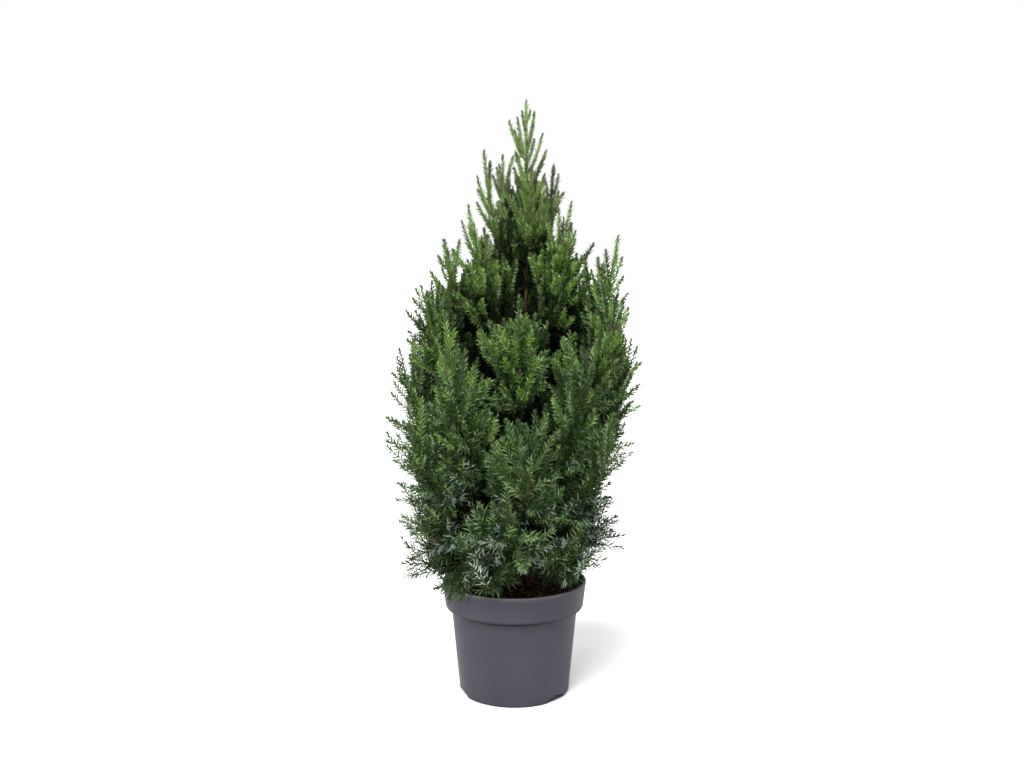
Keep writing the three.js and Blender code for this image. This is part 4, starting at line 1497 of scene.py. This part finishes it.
def tints_of(shoots, ways, rng):
    """The tint of each shoot's needles: fresh green at the top, blue-green at the foot and the edge of the
    crown, and painted shade inside it and on the lowest shoots, under it."""
    count = len(shoots.a)
    tips = shoots.all_at(1)
    high = height_share(tips[:, 2])
    green = GREEN_RISE * (high - GREEN_FOOT) + rng.normal(0, GREEN_SPREAD, count)
    green += rng.normal(0, GREEN_SPREAD_OF_MASSES, len(ways))[shoots.mass]
    below = [green < step for step in GREEN_STEPS.values()]
    tint = np.select(below, [TINT[name] for name in GREEN_STEPS], TINT["fresh"])
    dim = rng.uniform(0, 1, count)
    tint = np.where((tint == TINT["fresh"]) & (dim < FRESH_DULLED), TINT["green"], tint)
    tint = np.where((high > DEEP_ABOVE) & (dim > mix(*DEEP_LEFT, high)), TINT["deep"], tint)
    tint = np.where((high > TIP_ABOVE) & (dim < TIP_SHARE), TINT["tip"], tint)
    # Painted shade: most of the lowest shoots, under the crown, take the darker tint
    shaded_under_crown = tips[:, 2] < SHADED_BELOW + rng.normal(0, SHADED_BELOW_SPREAD, count)
    tint = np.where(shaded_under_crown, np.where(dim < LOW_SHADED, TINT["deep"], TINT["bluish"]), tint)
    tint = np.where((tint == TINT["blue"]) & (dim < BLUE_DEEP), TINT["deep"], tint)
    dry = (rng.uniform(0, 1, count) < DRY_SHARE) & (high < DRY_BELOW)
    return np.where(dry & (depth_in(crown_reach, tips) > DRY_DEPTH), TINT["dry"], tint)


def needle_places(shoots, spacing, rng):
    """The shoot of each needle, its share of the shoot's way, and its turn round it in degrees."""
    lengths = shoots.lengths()
    which, at, turn = [], [], []
    for i, leafy_from in enumerate(shoots.leafy_from):
        whorls = max(LEAST_WHORLS, int(lengths[i] * (1 - leafy_from) / spacing[i]))
        s = mix(leafy_from, 1, (np.arange(whorls) + FIRST_WHORL) / whorls)
        start = rng.uniform(0, 360)
        for k in range(NEEDLES_A_WHORL):
            which.append(np.full(whorls, i))
            at.append(s)
            half_step = 180 / NEEDLES_A_WHORL * (np.arange(whorls) % 2)
            turn.append(start + 360 * k / NEEDLES_A_WHORL + half_step)
    which, at, turn = (np.concatenate(x) for x in (which, at, turn))
    at = at + jitter(rng, NEEDLE_PLACE_JITTER, len(which)) * (spacing / lengths)[which]
    return which, np.clip(at, 0, LAST_NEEDLE), turn


def grow_needles(shoots, tints, rng):
    """All the needles, with the slot and the mass of each."""
    spacing = by_height(WHORL_SPACING, height_share(shoots.all_at(0.5)[:, 2]))
    which, at, turn = needle_places(shoots, spacing, rng)
    count = len(which)
    base = shoots.point(which, at)
    forward = shoots.tangent(which, at)
    high = height_share(base[:, 2])
    helper = np.where(np.abs(forward[:, 2:]) > 0.9, (1.0, 0, 0), UP)
    beside, other = frames_of(forward, helper)
    angle = np.radians(turn + jitter(rng, NEEDLE_TURN_JITTER, count))[:, None]
    outward = beside * np.cos(angle) + other * np.sin(angle)
    from_tip = (1 - at) * shoots.lengths()[which]
    full = by_height(NEEDLE_LENGTH, high)
    tip_zone = np.clip(from_tip / full, 0, 1)
    slope = by_height(NEEDLE_ANGLE, high) * mix(TIP_SLOPE, 1, tip_zone) * rng.uniform(*NEEDLE_SLOPES, count)
    slope = np.radians(slope)[:, None]
    axis = unit(forward * np.cos(slope) + outward * np.sin(slope))
    inward = np.cross(axis, unit(np.cross(forward, outward)))
    toward_stem = (inward * outward).sum(-1, keepdims=True)
    inward = np.where(toward_stem > 0, -inward, inward)
    roll = np.radians(rng.normal(0, NEEDLE_ROLL, count))[:, None]
    inward = inward * np.cos(roll) + np.cross(axis, inward) * np.sin(roll)
    across = np.cross(axis, inward)
    length = full * mix(TIP_LENGTH, 1, tip_zone) * rng.uniform(*NEEDLE_LENGTHS, count)
    inner = smoothstep(depth_in(crown_reach, base), INNER_WIDE_FROM, INNER_WIDE_FULL)
    width = by_height(NEEDLE_WIDTH, high) * rng.uniform(*NEEDLE_WIDTHS, count)
    width = width * mix(1, INNER_WIDENING, inner)
    widest = by_height(NEEDLE_WIDEST, high)
    at_bud = (from_tip < BUD_LENGTH) & (high > BUD_FROM) & (shoots.order[which] < 3)
    tint = shaded_inside(shoots, which, base, np.where(at_bud, TINT["bud"], tints[which]), rng)
    outside = unit(unit(base - trunk_axis(base[:, 2])) + BLOOM_UP * UP)
    bloomed = (outward * outside).sum(axis=1) < BLOOM_BELOW + rng.normal(0, BLOOM_SPREAD, count)
    return (base, axis, across, inward, length, width, widest), 2 * tint + bloomed, shoots.mass[which]


def shaded_inside(shoots, which, base, tint, rng):
    """The tints of needles, with painted shade on those that lie far under the shoots' own surface."""
    layer, sector, out = sector_of(base)
    depth = surface_of(shoots)[layer, sector] - out + rng.normal(0, SHADE_SPREAD, len(shoots.a))[which]
    high = height_share(base[:, 2])
    # Painted shade: needles under the surface take the darker tints
    tint = np.where(depth > by_height(DEEP_SHADE_FROM, high), TINT["deep"], tint)
    return np.where(depth > by_height(SHADE_FROM, high), TINT["shade"], tint)


FOLIAGE_GROUPS = {
    "skirt": ("skirt", "droop"),
    "low": ("low",),
    "middle": ("middle",),
    "shoulder_back": ("shoulder_2", "shoulder_3", "shoulder_4"),
    "shoulder_front": ("shoulder_1", "shoulder_5", "shoulder_6"),
    "upper": ("upper",),
    "spires": ("spire_right", "spire_left", "spire_high"),
    "high": ("high",),
    "top": ("top", "leader"),
}


def group_of(way):
    for group, names in FOLIAGE_GROUPS.items():
        if way.name in names or way.name.rsplit("_", 1)[0] in names:
            return group
    raise ValueError(way.name)


def make_foliage(ways, shoots):
    rng = np.random.default_rng(SEED + 3)
    tints = tints_of(shoots, ways, rng)
    materials = []
    for name, (back, face) in TINTS.items():
        materials.append(leaf_material(f"needle_{name}", back, LEAF_ROUGHNESS))
        materials.append(leaf_material(f"needle_{name}_bloom", face, BLOOM_ROUGHNESS))
    groups = list(FOLIAGE_GROUPS)
    mass_group = np.array([groups.index(group_of(way)) for way in ways])
    nodes = {g: [f"foliage_{w.name}" for w in ways if group_of(w) == g] for g in groups}
    needles, slot, mass = grow_needles(shoots, tints, rng)
    needle_group = mass_group[mass]
    for k, group in enumerate(groups):
        own = needle_group == k
        points, faces = needle_mesh(*(values[own] for values in needles))
        slots = np.repeat(slot[own], NEEDLE_FACES)
        piece = piece_of(f"needles_{group}", points, faces, materials, slots)
        stand_for(piece, nodes[group])
    make_twigs(shoots, sum(nodes.values(), []))


# Radii of twigs at the foot and the tip, by order: stems, sprays, and all the finer ones
FOOT_RADII = (1.9, 1.0, 0.7, 0.7)
TIP_RADII = (0.5, 0.35, 0.35, 0.35)
SLIMMER_AT_TOP = 0.85
# Pieces of twigs: name, orders, material, rings, sides, sharp angle, and slot
TWIG_PIECES = (
    ("stems", (0,), ("twig_brown", (66, 56, 36)), 24, 8, 50, "bark"),
    ("twigs_main", (1,), ("twig_olive", (70, 74, 36)), 7, 5, 60, "foliage"),
    ("twigs_fine", (2, 3), ("twig_green", (92, 104, 44)), 4, 4, 60, "foliage"),
)


def make_twigs(shoots, nodes):
    foot_radius = np.array(FOOT_RADII)[shoots.order] * mix(1, SLIMMER_AT_TOP, height_share(shoots.a[:, 2]))
    tip_radius = np.array(TIP_RADII)[shoots.order]
    for name, orders, look, rings, sides, sharp, slot in TWIG_PIECES:
        chosen = np.flatnonzero(np.isin(shoots.order, orders))
        points, faces = tube_mesh(shoots, chosen, foot_radius[chosen], tip_radius[chosen], rings, sides)
        piece = piece_of(name, points, faces, [twig_material(*look)], smooth=sharp)
        stand_for(piece, nodes)


# Stage, light and camera

STAGE_HALF = 60000
SUN_STRENGTH = 4.6
SUN_SOFTNESS = 35
SUN_DIRECTION = (0.3, 0.62, -1.0)


def make_stage():
    material, tree, shader = new_material("stage_floor", 0.9, 0.1)
    cloud = noise_node(tree, scale=3, detail=2)
    shade = ramp(tree, cloud, ((0.3, (243, 243, 243)), (0.7, (247, 247, 247))))
    tree.links.new(shade, shader.inputs["Base Color"])
    points = STAGE_HALF * np.array([(-1, -1, 0), (1, -1, 0), (1, 1, 0), (-1, 1, 0)], float)
    floor = piece_of("floor", points, [(0, 1, 2, 3)], [material])


def make_light():
    world = bpy.data.worlds.new("studio")
    world.use_nodes = True
    background = world.node_tree.nodes["Background"]
    background.inputs["Color"].default_value = (1, 1, 1, 1)
    background.inputs["Strength"].default_value = 1.0
    bpy.context.scene.world = world
    sun = bpy.data.lights.new("key", "SUN")
    sun.energy = SUN_STRENGTH
    sun.angle = math.radians(SUN_SOFTNESS)
    key = bpy.data.objects.new("key", sun)
    key.rotation_euler = Vector(SUN_DIRECTION).to_track_quat("-Z", "Y").to_euler()
    bpy.context.scene.collection.objects.link(key)
    bpy.context.scene.view_settings.view_transform = "Standard"


def make_camera():
    data = bpy.data.cameras.new("camera")
    data.sensor_width = SENSOR
    data.lens = FOCAL_PIXELS * SENSOR / IMAGE_WIDTH
    camera = bpy.data.objects.new("camera", data)
    camera.location = [MM * x for x in CAMERA_PLACE]
    camera.rotation_euler = (math.radians(90 - CAMERA_PITCH), 0, 0)
    bpy.context.scene.collection.objects.link(camera)
    bpy.context.scene.camera = camera


def main():
    make_camera()
    make_light()
    make_stage()
    ways = bough_ways()
    lines = [mass_line(way) for way in ways]
    bark = bark_material()
    make_pot(pot_material())
    make_soil(soil_material(), leaf_material("needle_dead", DEAD_NEEDLE, roughness=0.8))
    make_limbs(ways, bark)
    make_foliage(ways, grow_shoots(ways, lines))


main()
